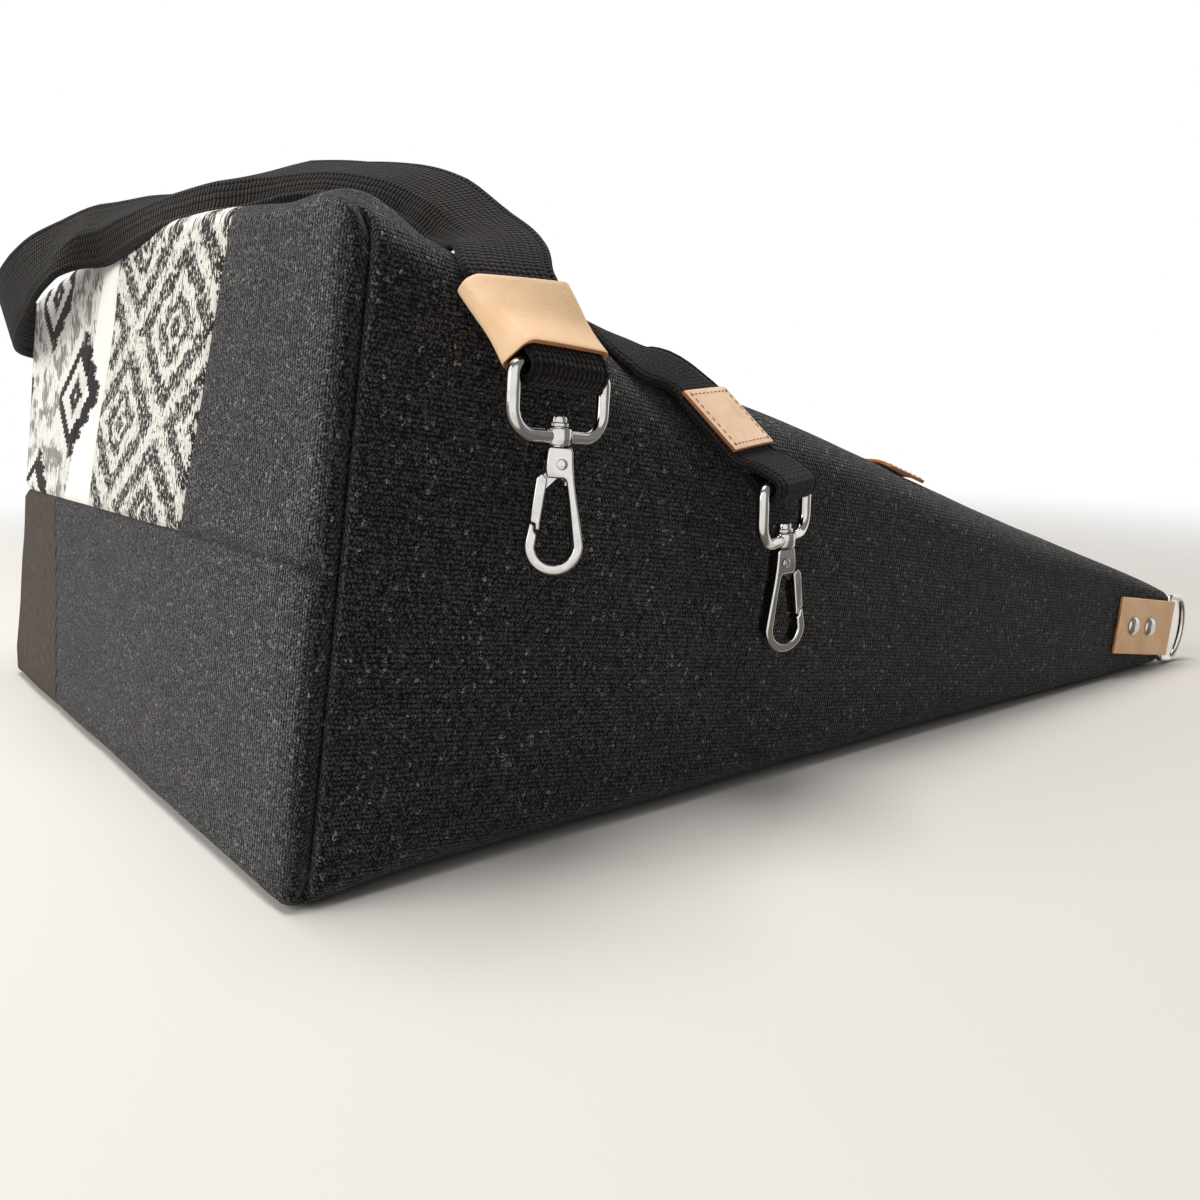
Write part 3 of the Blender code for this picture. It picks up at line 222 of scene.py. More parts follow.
def ease(low, high, value):
    """Smooth step from 0 at low to 1 at high."""
    t = min(max((value - low) / (high - low), 0.0), 1.0)
    return t * t * (3 - 2 * t)


def mix(a, b, t):
    return a + (b - a) * t


# Node trees, made in a few words each

def feed(tree, socket, value):
    if isinstance(value, bpy.types.NodeSocket):
        tree.links.new(value, socket)
    else:
        socket.default_value = value


def node(tree, kind, inputs=None, **settings):
    made = tree.nodes.new(kind)
    for key, value in settings.items():
        setattr(made, key, value)
    for key, value in (inputs or {}).items():
        feed(tree, made.inputs[key], value)
    return made


def calc(tree, operation, a, b=0.0, c=0.0):
    return node(tree, "ShaderNodeMath", {0: a, 1: b, 2: c}, operation=operation).outputs[0]


def times(tree, a, b):
    return calc(tree, "MULTIPLY", a, b)


def scaled(tree, a, factor, start):
    return calc(tree, "MULTIPLY_ADD", a, factor, start)


def minus(tree, a, b):
    return calc(tree, "SUBTRACT", a, b)


def over(tree, a, b):
    return calc(tree, "DIVIDE", a, b)


def larger(tree, a, b):
    return calc(tree, "MAXIMUM", a, b)


def blended(tree, share, a, b):
    """Colour a where the share is 0 and colour b where it is 1."""
    made = node(tree, "ShaderNodeMix", {0: share}, data_type="RGBA")
    for number, colour in ((6, a), (7, b)):
        feed(tree, made.inputs[number], colour if isinstance(colour, bpy.types.NodeSocket) else (*colour, 1))
    return made.outputs[2]


def ramp(tree, value, low, high, bottom=0.0, top=1.0):
    inputs = {"Value": value, "From Min": low, "From Max": high, "To Min": bottom, "To Max": top}
    return node(tree, "ShaderNodeMapRange", inputs, interpolation_type="SMOOTHSTEP").outputs[0]


def stretched(tree, place, scale):
    return node(tree, "ShaderNodeMapping", {"Vector": place, "Scale": scale}).outputs[0]


def cloudy(tree, place, scale, detail=2.0, roughness=0.5, output="Fac"):
    return node(tree, "ShaderNodeTexNoise", {"Vector": place, "Scale": scale, "Detail": detail,
                                             "Roughness": roughness}).outputs[output]


def way(tree, operation, inputs):
    return node(tree, "ShaderNodeVectorMath", inputs, operation=operation).outputs[0]


def sides_of(tree, place):
    parts = node(tree, "ShaderNodeSeparateXYZ", {0: place})
    return parts.outputs[0], parts.outputs[1]


def joined_place(tree, x, y):
    return node(tree, "ShaderNodeCombineXYZ", {0: x, 1: y}).outputs[0]


def effect(name, inputs, outputs):
    """An empty shader group with named inputs and outputs; gives its tree, its input sockets and its end."""
    tree = bpy.data.node_groups.new(name, "ShaderNodeTree")
    for label, kind, value in inputs:
        socket = tree.interface.new_socket(label, in_out="INPUT", socket_type=kind)
        if value is not None:
            socket.default_value = value
    for label, kind in outputs:
        tree.interface.new_socket(label, in_out="OUTPUT", socket_type=kind)
    start = tree.nodes.new("NodeGroupInput")
    end = tree.nodes.new("NodeGroupOutput")
    return tree, start.outputs, end.inputs


def use(tree, group, **inputs):
    made = tree.nodes.new("ShaderNodeGroup")
    made.node_tree = group
    for key, value in inputs.items():
        feed(tree, made.inputs[key.replace("_", " ")], value)
    return made.outputs


NUMBER = "NodeSocketFloat"
VECTOR = "NodeSocketVector"


def woven_threads():
    """Plain weave: a bump for each thread crossing, with a tone of its own and a second random number."""
    tree, given, out = effect("woven threads", (
        ("Place", VECTOR, None), ("Along", NUMBER, 0.0009), ("Across", NUMBER, 0.00115),
        ("Wander", NUMBER, 0.0003)),
        (("Height", NUMBER), ("Tone", NUMBER), ("Chance", NUMBER)))
    drift = cloudy(tree, given["Place"], 170.0, 2.0, 0.6, "Color")
    drift = way(tree, "SUBTRACT", {0: drift, 1: (0.5, 0.5, 0.5)})
    drift = way(tree, "SCALE", {0: drift, "Scale": given["Wander"]})
    place = way(tree, "ADD", {0: given["Place"], 1: drift})
    u, v = sides_of(tree, place)
    y = over(tree, v, given["Across"])
    row = calc(tree, "FLOOR", y)
    x = calc(tree, "ADD", over(tree, u, given["Along"]), times(tree, row, 0.5))
    thread = calc(tree, "FLOOR", x)
    near = [calc(tree, "COSINE", times(tree, minus(tree, calc(tree, "FRACT", t), 0.5), pi)) for t in (x, y)]
    bump = times(tree, *[calc(tree, "POWER", t, 0.7) for t in near])
    cell = joined_place(tree, thread, row)
    tone = node(tree, "ShaderNodeTexWhiteNoise", {"Vector": cell}, noise_dimensions="2D").outputs["Value"]
    chance = node(tree, "ShaderNodeTexWhiteNoise", {"Vector": cell, "W": 7.3}, noise_dimensions="4D")
    feed(tree, out["Height"], times(tree, bump, scaled(tree, tone, 0.45, 0.75)))
    feed(tree, out["Tone"], tone)
    feed(tree, out["Chance"], chance.outputs["Value"])
    return tree


def fine_fuzz():
    """Short fibres over a surface: a fine height and a tone."""
    tree, given, out = effect("fine fuzz", (("Place", VECTOR, None), ("Scale", NUMBER, 1400.0)),
                              (("Height", NUMBER), ("Tone", NUMBER)))
    hairs = cloudy(tree, given["Place"], given["Scale"], 3.0, 0.7)
    clumps = cloudy(tree, given["Place"], times(tree, given["Scale"], 0.22), 2.0, 0.6)
    feed(tree, out["Height"], hairs)
    feed(tree, out["Tone"], scaled(tree, hairs, 0.6, times(tree, clumps, 0.4)))
    return tree


def nested_diamonds():
    """Distance from the middle of the nearest diamond in a staggered lattice: 1 on the lattice's lines."""
    tree, given, out = effect("nested diamonds", (
        ("Place", VECTOR, None), ("Half width", NUMBER, 0.046), ("Half height", NUMBER, 0.033)),
        (("Distance", NUMBER),))
    u, v = sides_of(tree, given["Place"])
    x, y = [calc(tree, "PINGPONG", over(tree, calc(tree, "ABSOLUTE", t), given[half]), 1.0)
            for t, half in ((u, "Half width"), (v, "Half height"))]
    total = calc(tree, "ADD", x, y)
    feed(tree, out["Distance"], calc(tree, "MINIMUM", total, minus(tree, 2.0, total)))
    return tree


def thread_dashes():
    """Dark or light short threads up a cloth; the share of dark ones follows a given darkness."""
    tree, given, out = effect("thread dashes", (
        ("Place", VECTOR, None), ("Darkness", NUMBER, 0.5), ("Width", NUMBER, 0.0007),
        ("Length", NUMBER, 0.0045)),
        (("Dark", NUMBER),))
    u, v = sides_of(tree, given["Place"])
    place = joined_place(tree, over(tree, u, given["Width"]), over(tree, v, given["Length"]))
    grain = cloudy(tree, place, 1.0, 1.0, 0.5)
    level = scaled(tree, given["Darkness"], -0.42, 0.71)
    feed(tree, out["Dark"], ramp(tree, minus(tree, grain, level), -0.035, 0.035))
    return tree


def hide_grain():
    """Pores and soft mottling of vegetable-tanned leather."""
    tree, given, out = effect("hide grain", (("Place", VECTOR, None), ("Scale", NUMBER, 900.0)),
                              (("Height", NUMBER), ("Mottle", NUMBER)))
    pores = node(tree, "ShaderNodeTexVoronoi", {"Vector": given["Place"], "Scale": given["Scale"]},
                 feature="F1").outputs["Distance"]
    folds = cloudy(tree, given["Place"], times(tree, given["Scale"], 0.35), 4.0, 0.6)
    feed(tree, out["Height"], scaled(tree, pores, 0.5, times(tree, folds, 0.6)))
    feed(tree, out["Mottle"], cloudy(tree, given["Place"], times(tree, given["Scale"], 0.06), 3.0, 0.6))
    return tree


WEAVE = woven_threads()
FUZZ = fine_fuzz()
DIAMONDS = nested_diamonds()
DASHES = thread_dashes()
HIDE = hide_grain()


def finish_of(name, roughness=0.9, specular=0.15, sheen=0.0, metallic=0.0):
    """A new material: its tree, its shader and the part's own UV map and object coordinates."""
    made = bpy.data.materials.new(name)
    made.use_nodes = True
    tree = made.node_tree
    shader = tree.nodes["Principled BSDF"]
    shader.inputs["Roughness"].default_value = roughness
    shader.inputs["Specular IOR Level"].default_value = specular
    shader.inputs["Sheen Weight"].default_value = sheen
    shader.inputs["Sheen Roughness"].default_value = 0.4
    shader.inputs["Metallic"].default_value = metallic
    laid = node(tree, "ShaderNodeUVMap", uv_map="Cloth").outputs[0]
    body = node(tree, "ShaderNodeTexCoord").outputs["Object"]
    return made, tree, shader, laid, body


def raised(tree, shader, height, depth, strength=1.0):
    bump = node(tree, "ShaderNodeBump", {"Height": height, "Distance": depth, "Strength": strength})
    tree.links.new(bump.outputs[0], shader.inputs["Normal"])


def charcoal_cloth():
    """Dark heathered wool: black, grey and a few pale threads; painted shade between the threads, and painted
    highlight and painted shade flecks on the base.
    """
    made, tree, shader, laid, body = finish_of("charcoal cloth", 0.95, 0.06, 0.22)
    shader.inputs["Sheen Roughness"].default_value = 0.28
    weave = use(tree, WEAVE, Place=laid, Along=0.00115, Across=0.00150, Wander=0.00035)
    speck = cloudy(tree, body, 1500.0, 2.0, 0.8)
    hairs = cloudy(tree, stretched(tree, body, (900.0, 1500.0, 900.0)), 1.0, 3.0, 0.7)
    patches = cloudy(tree, body, 60.0, 3.0, 0.55)
    # Painted shade: the thread colour runs from near black where the threads sink to grey on their tops.
    thread = calc(tree, "POWER", weave["Height"], 1.6)
    thread = times(tree, thread, scaled(tree, weave["Tone"], 0.9, 0.25))
    thread = times(tree, thread, ramp(tree, hairs, 0.38, 0.56, 0.45, 1.25))
    colour = blended(tree, thread, (0.0036, 0.0035, 0.0040), (0.076, 0.073, 0.076))
    colour = blended(tree, ramp(tree, speck, 0.55, 0.62, 0.0, 0.70), colour, (0.170, 0.165, 0.168))
    colour = blended(tree, ramp(tree, speck, 0.46, 0.41, 0.0, 0.80), colour, (0.0026, 0.0025, 0.0031))
    # Painted light on the base: faces turned along X get painted highlight flecks and painted shade flecks in
    # their colour, for the light falling on the base.
    turned, _ = sides_of(tree, node(tree, "ShaderNodeTexCoord").outputs["Normal"])
    base = ramp(tree, calc(tree, "ABSOLUTE", turned), 0.72, 0.92)
    base_fleck_noise = cloudy(tree, body, 1080.0, 2.0, 0.85)
    lit = times(tree, base, ramp(tree, base_fleck_noise, 0.55, 0.60, 0.0, 0.80))
    colour = blended(tree, lit, colour, (0.215, 0.208, 0.213))
    painted_shade_flecks = times(tree, base, ramp(tree, base_fleck_noise, 0.49, 0.44, 0.0, 0.92))
    colour = blended(tree, painted_shade_flecks, colour, (0.0030, 0.0030, 0.0036))
    pale = times(tree, ramp(tree, weave["Chance"], 0.965, 0.975), ramp(tree, speck, 0.50, 0.54))
    colour = blended(tree, times(tree, pale, 0.7), colour, (0.42, 0.40, 0.37))
    colour = blended(tree, ramp(tree, patches, 0.35, 0.75, 0.0, 0.20), colour, (0.012, 0.012, 0.013))
    tree.links.new(colour, shader.inputs["Base Color"])
    height = scaled(tree, speck, 0.8, weave["Height"])
    raised(tree, shader, height, 0.00060, 1.0)
    return made


def leaned(tree, laid):
    """A strip's place with its lean taken out: on the base it leans more than on the front panel."""
    u, v = sides_of(tree, laid)
    on_base = calc(tree, "MINIMUM", v, BASE_DEPTH / 2)
    on_panel = larger(tree, minus(tree, v, BASE_DEPTH / 2), 0.0)
    u = scaled(tree, on_base, 0.30, u)
    return scaled(tree, on_panel, 0.10, u), v


def stirred(tree, laid, u, v, amount, scale=260.0):
    """The same place moved about by small irregular steps, as tied and dyed threads are."""
    drift = node(tree, "ShaderNodeSeparateColor", {0: cloudy(tree, laid, scale, 2.0, 0.6, "Color")}).outputs
    u = scaled(tree, minus(tree, drift[0], 0.5), amount, u)
    v = scaled(tree, minus(tree, drift[1], 0.5), amount, v)
    return u, v


def woven_finish(tree, shader, laid, body, colour, depth=0.00022):
    """Fine thread tones over a cloth's colour, with painted shade where the threads sink, and its raised
    threads.
    """
    weave = use(tree, WEAVE, Place=laid, Along=0.00062, Across=0.00062, Wander=0.0002)
    fuzz = use(tree, FUZZ, Place=body, Scale=1700.0)
    # Painted shade: the colour is darker where the threads sink and lighter on their tops; the fuzz adds
    # random tone.
    shade = scaled(tree, ramp(tree, weave["Height"], 0.0, 0.9), 0.16, 0.86)
    shade = scaled(tree, minus(tree, fuzz["Tone"], 0.5), 0.25, shade)
    tree.links.new(way(tree, "SCALE", {0: colour, "Scale": shade}), shader.inputs["Base Color"])
    raised(tree, shader, scaled(tree, fuzz["Height"], 0.3, weave["Height"]), depth, 0.8)


def wide_ikat():
    """Nested diamonds in grainy grey-black threads on off-white."""
    made, tree, shader, laid, body = finish_of("wide ikat cloth", 0.92, 0.15, 0.05)
    u, v = leaned(tree, laid)
    u, v = stirred(tree, laid, u, v, 0.010, 130.0)
    place = joined_place(tree, minus(tree, u, 0.0215), minus(tree, v, 0.0346))
    distance = use(tree, DIAMONDS, Place=place, Half_width=0.046, Half_height=0.033)["Distance"]
    bands = larger(tree, ramp(tree, distance, 0.78, 0.92), times(tree, ramp(
        tree, distance, 0.34, 0.46), ramp(tree, distance, 0.68, 0.54)))
    bands = larger(tree, bands, times(tree, ramp(tree, distance, 0.08, 0.16), ramp(
        tree, distance, 0.28, 0.20)))
    uneven = cloudy(tree, laid, 70.0, 2.0, 0.6)
    dark = scaled(tree, bands, -0.78, ramp(tree, uneven, 0.35, 0.65, 0.92, 1.22))
    dashes = use(tree, DASHES, Place=laid, Darkness=dark, Width=0.00105, Length=0.0030)["Dark"]
    grain = cloudy(tree, stretched(tree, laid, (820.0, 420.0, 600.0)), 1.0, 2.0, 0.7)
    dashes = times(tree, dashes, ramp(tree, grain, 0.40, 0.47, 0.08, 1.0))
    black = blended(tree, cloudy(tree, laid, 900.0), (0.006, 0.005, 0.005), (0.036, 0.033, 0.030))
    cream = blended(tree, uneven, (0.70, 0.67, 0.62), (0.80, 0.78, 0.735))
    woven_finish(tree, shader, laid, body, blended(tree, dashes, cream, black))
    return made


def bold_figures(tree, laid, columns):
    """Black stepped diamonds with a toothed near side; several columns of them, or only the first."""
    u, v = leaned(tree, laid)
    u = minus(tree, u, 0.0950)
    v = minus(tree, v, 0.0455)
    if columns:
        column = calc(tree, "ROUND", over(tree, u, 0.054))
        u = scaled(tree, column, -0.054, u)
        odd = calc(tree, "FLOORED_MODULO", column, 2.0)
        v = scaled(tree, odd, -0.051, v)
    v = scaled(tree, calc(tree, "ROUND", over(tree, v, 0.102)), -0.102, v)
    u, v = stirred(tree, laid, u, v, 0.0022, 420.0)
    step_u = times(tree, calc(tree, "ROUND", over(tree, u, 0.0030)), 0.0030)
    step_v = times(tree, calc(tree, "ROUND", over(tree, v, 0.0022)), 0.0022)
    wide = over(tree, calc(tree, "ABSOLUTE", step_u), 0.026)
    high = over(tree, calc(tree, "ABSOLUTE", step_v), 0.0205)
    distance = calc(tree, "ADD", wide, high)
    inner = times(tree, ramp(tree, distance, 0.46, 0.40), ramp(tree, distance, 0.06, 0.12))
    line = times(tree, ramp(tree, distance, 0.80, 0.86), ramp(tree, distance, 1.20, 1.12))
    tooth = calc(tree, "PINGPONG", over(tree, v, 0.0036), 1.0)
    tooth = scaled(tree, tooth, 0.24, 1.38)
    near = ramp(tree, u, 0.002, -0.004)
    teeth = times(tree, near, times(tree, ramp(tree, distance, 0.94, 1.0), ramp(
        tree, minus(tree, distance, tooth), 0.05, -0.03)))
    return larger(tree, inner, larger(tree, line, teeth)), distance


def bold_ikat():
    made, tree, shader, laid, body = finish_of("bold ikat cloth", 0.92, 0.15, 0.05)
    figure, distance = bold_figures(tree, laid, True)
    around = ramp(tree, distance, 1.25, 1.75)
    uneven = cloudy(tree, laid, 85.0, 2.0, 0.6)
    dark = times(tree, around, ramp(tree, uneven, 0.42, 0.62, 0.15, 0.80))
    dashes = use(tree, DASHES, Place=laid, Darkness=dark, Width=0.0011, Length=0.0070)["Dark"]
    dashes = times(tree, dashes, ramp(tree, dark, 0.02, 0.2, 0.0, 0.85))
    black = blended(tree, cloudy(tree, laid, 700.0), (0.010, 0.009, 0.009), (0.042, 0.039, 0.036))
    grey = blended(tree, dashes, (0.80, 0.785, 0.75), (0.16, 0.15, 0.14))
    woven_finish(tree, shader, laid, body, blended(tree, figure, grey, black))
    return made


def white_cotton():
    """Plain off-white, where the neighbouring diamonds' teeth reach in."""
    made, tree, shader, laid, body = finish_of("off-white cotton", 0.92, 0.15, 0.05)
    figure, _ = bold_figures(tree, laid, False)
    cream = blended(tree, cloudy(tree, laid, 60.0, 3.0), (0.85, 0.835, 0.80), (0.90, 0.89, 0.86))
    woven_finish(tree, shader, laid, body, blended(tree, figure, cream, (0.016, 0.015, 0.014)), 0.00012)
    return made


def brown_corduroy():
    made, tree, shader, laid, body = finish_of("brown corduroy", 0.95, 0.10, 0.08)
    u, _ = sides_of(tree, laid)
    fuzz = use(tree, FUZZ, Place=body, Scale=1300.0)
    wander = scaled(tree, cloudy(tree, laid, 120.0), 0.0010, u)
    rib = calc(tree, "ABSOLUTE", calc(tree, "SINE", times(tree, wander, pi / 0.0021)))
    # Painted shade: darker in the valleys between the wales, lighter on their tops.
    colour = blended(tree, ramp(tree, rib, 0.1, 0.8), (0.006, 0.0045, 0.0035), (0.068, 0.050, 0.039))
    colour = blended(tree, ramp(tree, fuzz["Tone"], 0.45, 0.7, 0.0, 0.42), colour, (0.165, 0.140, 0.120))
    worn = cloudy(tree, laid, 55.0, 3.0, 0.6)
    colour = blended(tree, ramp(tree, worn, 0.4, 0.7, 0.0, 0.45), colour, (0.060, 0.050, 0.043))
    tree.links.new(colour, shader.inputs["Base Color"])
    raised(tree, shader, scaled(tree, fuzz["Height"], 0.4, rib), 0.0006, 0.9)
    return made


def navy_lining():
    made, tree, shader, laid, body = finish_of("navy lining", 0.7, 0.3, 0.1)
    weave = use(tree, WEAVE, Place=laid, Along=0.0006, Across=0.0006, Wander=0.0002)
    # Painted shade: darker between the threads, brighter on their tops.
    colour = blended(tree, weave["Height"], (0.004, 0.006, 0.020), (0.012, 0.022, 0.095))
    worn = ramp(tree, cloudy(tree, body, 45.0, 3.0), 0.4, 0.7, 0.0, 0.4)
    colour = blended(tree, worn, colour, (0.01, 0.014, 0.05))
    tree.links.new(colour, shader.inputs["Base Color"])
    raised(tree, shader, weave["Height"], 0.0002, 0.8)
    return made


def black_webbing():
    """Thick cotton webbing: columns of slanting ribs that change direction from column to column."""
    made, tree, shader, laid, body = finish_of("black webbing", 0.95, 0.12, 0.10)
    fuzz = use(tree, FUZZ, Place=body, Scale=1500.0)
    drift = times(tree, minus(tree, cloudy(tree, laid, 200.0), 0.5), 0.0008)
    u, v = sides_of(tree, laid)
    x = over(tree, calc(tree, "ADD", u, drift), 0.0019)
    column = calc(tree, "FLOOR", x)
    inside = minus(tree, calc(tree, "FRACT", x), 0.5)
    way = scaled(tree, calc(tree, "FLOORED_MODULO", column, 2.0), 2.0, -1.0)
    slant = scaled(tree, times(tree, inside, way), 0.30, calc(
        tree, "DIVIDE", calc(tree, "ADD", v, drift), 0.0017))
    rib = calc(tree, "ABSOLUTE", calc(tree, "SINE", times(tree, slant, pi)))
    ridge = calc(tree, "COSINE", times(tree, inside, pi))
    height = times(tree, calc(tree, "POWER", rib, 0.7), calc(tree, "POWER", ridge, 0.6))
    # Painted shade: near black in the grooves between the ribs, lighter on the rib crests.
    colour = blended(tree, ramp(tree, height, 0.1, 0.95), (0.0022, 0.0019, 0.0017), (0.0112, 0.0088, 0.0076))
    colour = blended(tree, ramp(tree, fuzz["Tone"], 0.50, 0.75, 0.0, 0.40), colour, (0.048, 0.041, 0.036))
    tree.links.new(colour, shader.inputs["Base Color"])
    raised(tree, shader, scaled(tree, fuzz["Height"], 0.25, height), 0.00060, 1.0)
    return made


def leather(name, pale, deep, roughness=0.50, edge=False):
    made, tree, shader, _, body = finish_of(name, roughness, 0.35)
    grain = use(tree, HIDE, Place=body, Scale=1800.0 if edge else 1000.0)
    colour = blended(tree, ramp(tree, grain["Mottle"], 0.36, 0.66), pale, deep)
    specks = ramp(tree, cloudy(tree, body, 750.0, 2.0, 0.6), 0.64, 0.74, 0.0, 0.35)
    colour = blended(tree, specks, colour, (deep[0] * 0.72, deep[1] * 0.66, deep[2] * 0.6))
    tree.links.new(colour, shader.inputs["Base Color"])
    gloss = ramp(tree, grain["Mottle"], 0.3, 0.7, roughness - 0.06, roughness + 0.10)
    tree.links.new(gloss, shader.inputs["Roughness"])
    raised(tree, shader, grain["Height"], 0.00045 if edge else 0.00010, 0.8)
    return made


def bright_metal(name, tint, roughness):
    """Polished metal whose slanting faces carry a painted reflection of darker surroundings in their colour.
    """
    made, tree, shader, _, body = finish_of(name, roughness, 0.5, 0.0, 1.0)
    smudge = cloudy(tree, body, 160.0, 4.0, 0.65)
    ripple = cloudy(tree, body, 420.0, 2.0, 0.5)
    slant = node(tree, "ShaderNodeLayerWeight", {"Blend": 0.5}).outputs["Facing"]
    slant = scaled(tree, minus(tree, cloudy(tree, body, 90.0), 0.5), 0.10, slant)
    # Painted reflection: dark bands in the colour where a face slants to the view.
    painted_reflection = times(tree, ramp(tree, slant, 0.07, 0.13), ramp(tree, slant, 0.50, 0.36))
    painted_reflection = larger(tree, painted_reflection, ramp(tree, slant, 0.80, 0.92))
    colour = blended(tree, ramp(tree, smudge, 0.45, 0.75), tint, [c * 0.84 for c in tint])
    colour = blended(tree, times(tree, painted_reflection, 0.86), colour, (0.070, 0.064, 0.060))
    tree.links.new(colour, shader.inputs["Base Color"])
    tree.links.new(ramp(tree, smudge, 0.35, 0.75, roughness, roughness + 0.09), shader.inputs["Roughness"])
    raised(tree, shader, ripple, 0.00006, 0.5)
    return made


def sewing_thread():
    made, tree, shader, _, body = finish_of("brown sewing thread", 0.8, 0.3, 0.2)
    twist = cloudy(tree, body, 2600.0, 2.0, 0.6)
    colour = blended(tree, twist, (0.16, 0.085, 0.045), (0.42, 0.28, 0.18))
    tree.links.new(colour, shader.inputs["Base Color"])
    raised(tree, shader, twist, 0.0001, 0.8)
    return made


CHARCOAL = charcoal_cloth()
WIDE_IKAT = wide_ikat()
BOLD_IKAT = bold_ikat()
WHITE = white_cotton()
CORDUROY = brown_corduroy()
NAVY = navy_lining()
WEBBING = black_webbing()
PALE_LEATHER = leather("pale leather", (0.94, 0.655, 0.415), (0.90, 0.60, 0.36))
PATCH_LEATHER = leather("patch leather", (0.84, 0.60, 0.43), (0.75, 0.50, 0.335), 0.58)
TAN_LEATHER = leather("tan leather", (0.86, 0.56, 0.32), (0.78, 0.47, 0.245), 0.45)
RAW_EDGE = leather("raw leather edge", (0.47, 0.20, 0.085), (0.32, 0.125, 0.050), 0.8, True)
NICKEL = bright_metal("polished nickel", (0.76, 0.74, 0.705), 0.07)
STEEL = bright_metal("spring steel", (0.50, 0.49, 0.48), 0.30)
THREAD = sewing_thread()


# Finished pieces

def placed(name, data):
    made = bpy.data.objects.new(name, data)
    bpy.context.scene.collection.objects.link(made)
    return made


def finished(data, name, body, replaced, smooth=None):
    """A piece at the origin that rides on a body and stands for CAD nodes."""
    data.name = name
    piece = placed(name, data)
    for face in data.polygons:
        face.use_smooth = True
    if smooth:
        data.set_sharp_from_angle(angle=radians(smooth))
    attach(piece, body)
    if replaced:
        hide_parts(*replaced)


def taken_from(holder):
    """The holder's mesh after its modifiers; the holder itself goes."""
    bpy.context.view_layer.update()
    made = bpy.data.meshes.new_from_object(holder.evaluated_get(bpy.context.evaluated_depsgraph_get()))
    bpy.data.objects.remove(holder, do_unlink=True)
    return made


def baked(data, modifiers):
    """The mesh after a chain of modifiers, each a type with its settings."""
    holder = placed("holder", data)
    for kind, settings in modifiers:
        step = holder.modifiers.new(kind.lower(), kind)
        for key, value in settings.items():
            setattr(step, key, value)
    return taken_from(holder)


def shelled(thickness, offset=-1.0, rim=0, even=True):
    return ("SOLIDIFY", dict(thickness=thickness, offset=offset, use_even_offset=even,
                             use_quality_normals=even, material_offset_rim=rim))


def rounded(width, segments=3, angle=50.0):
    return ("BEVEL", dict(width=width, segments=segments, limit_method="ANGLE", angle_limit=radians(angle)))


@contextmanager
def modelling(data):
    """A bmesh that ends as the given mesh, its faces turned outward."""
    work = bmesh.new()
    yield work
    bmesh.ops.recalc_face_normals(work, faces=work.faces)
    work.to_mesh(data)
    work.free()


class Sheets:
    """Grids of points with cloth places (u, v), welded where they meet; each face has a named piece."""

    def __init__(self):
        self.points = []
        self.known = {}
        self.faces = []
        self.seams = set()

    def vertex(self, point):
        key = tuple(round(c * 1e5) for c in point)
        if key not in self.known:
            self.known[key] = len(self.points)
            self.points.append(Vector(point))
        return self.known[key]

    def add(self, rows, places, owner, seam=None, flip=False):
        """owner(column) names a face's piece; seam(row, column) tells whether a point is on a seam."""
        grid = [[self.vertex(p) for p in row] for row in rows]
        if seam:
            for r, row in enumerate(grid):
                self.seams.update(v for k, v in enumerate(row) if seam(r, k))
        for r, k in product(range(len(rows) - 1), range(len(rows[0]) - 1)):
            spots = [(r, k), (r, k + 1), (r + 1, k + 1), (r + 1, k)]
            if flip:
                spots.reverse()
            corners = {}
            for a, b in spots:
                corners.setdefault(grid[a][b], places[a][b])
            if len(corners) > 2:
                self.faces.append((list(corners.items()), owner(k)))

    def mesh_of(self, owner, finishes):
        data = bpy.data.meshes.new(owner)
        taken = [corners for corners, name in self.faces if name == owner]
        index = {}
        for corners in taken:
            for i, _ in corners:
                index.setdefault(i, len(index))
        data.from_pydata([self.points[i] for i in index], [], [[index[i] for i, _ in c] for c in taken])
        layer = data.uv_layers.new(name="Cloth")
        for loop, place in zip(layer.data, [place for c in taken for _, place in c]):
            loop.uv = place
        on_seam = {index[i] for i in self.seams if i in index}
        for edge in data.edges:
            edge.use_edge_sharp = edge.vertices[0] in on_seam and edge.vertices[1] in on_seam
        for finish in finishes:
            data.materials.append(finish)
        return data


def plain_sheet(rows, finishes, flip=False, places=None):
    """One grid as a mesh; its cloth places are lengths along and across it."""
    sheet = Sheets()
    if places is None:
        places = []
        down = 0.0
        for r, row in enumerate(rows):
            if r:
                down += sum((a - b).length for a, b in zip(rows[r - 1], row)) / len(row)
            across = 0.0
            line = [(0.0, down)]
            for a, b in zip(row, row[1:]):
                across += (b - a).length
                line.append((across, down))
            places.append(line)
    sheet.add(rows, places, lambda k: "sheet", flip=flip)
    return sheet.mesh_of("sheet", finishes)


# The bag's section at a distance m from the base

def half_depth(m):
    return BASE_DEPTH / 2 - MOUTH_FLARE * m / BAG_LENGTH


def half_width(m):
    return BASE_WIDTH / 2 + MOUTH_FLARE * m / BAG_LENGTH


def front_round(m):
    grown = mix(FRONT_ROUND_AT_BASE, FRONT_ROUND, ease(0.005, 0.055, m))
    grown = mix(PRESSED_ROUND, grown, ease(0.0, PRESSED_REACH, abs(m - PRESSED_PLACE)))
    return mix(grown, MOUTH_ROUND, ease(0.60 * BAG_LENGTH, BAG_LENGTH, m))


def back_round(m):
    grown = mix(BACK_ROUND_AT_BASE, BACK_ROUND, ease(0.0, 0.04, m))
    return mix(grown, MOUTH_ROUND, ease(0.60 * BAG_LENGTH, BAG_LENGTH, m))


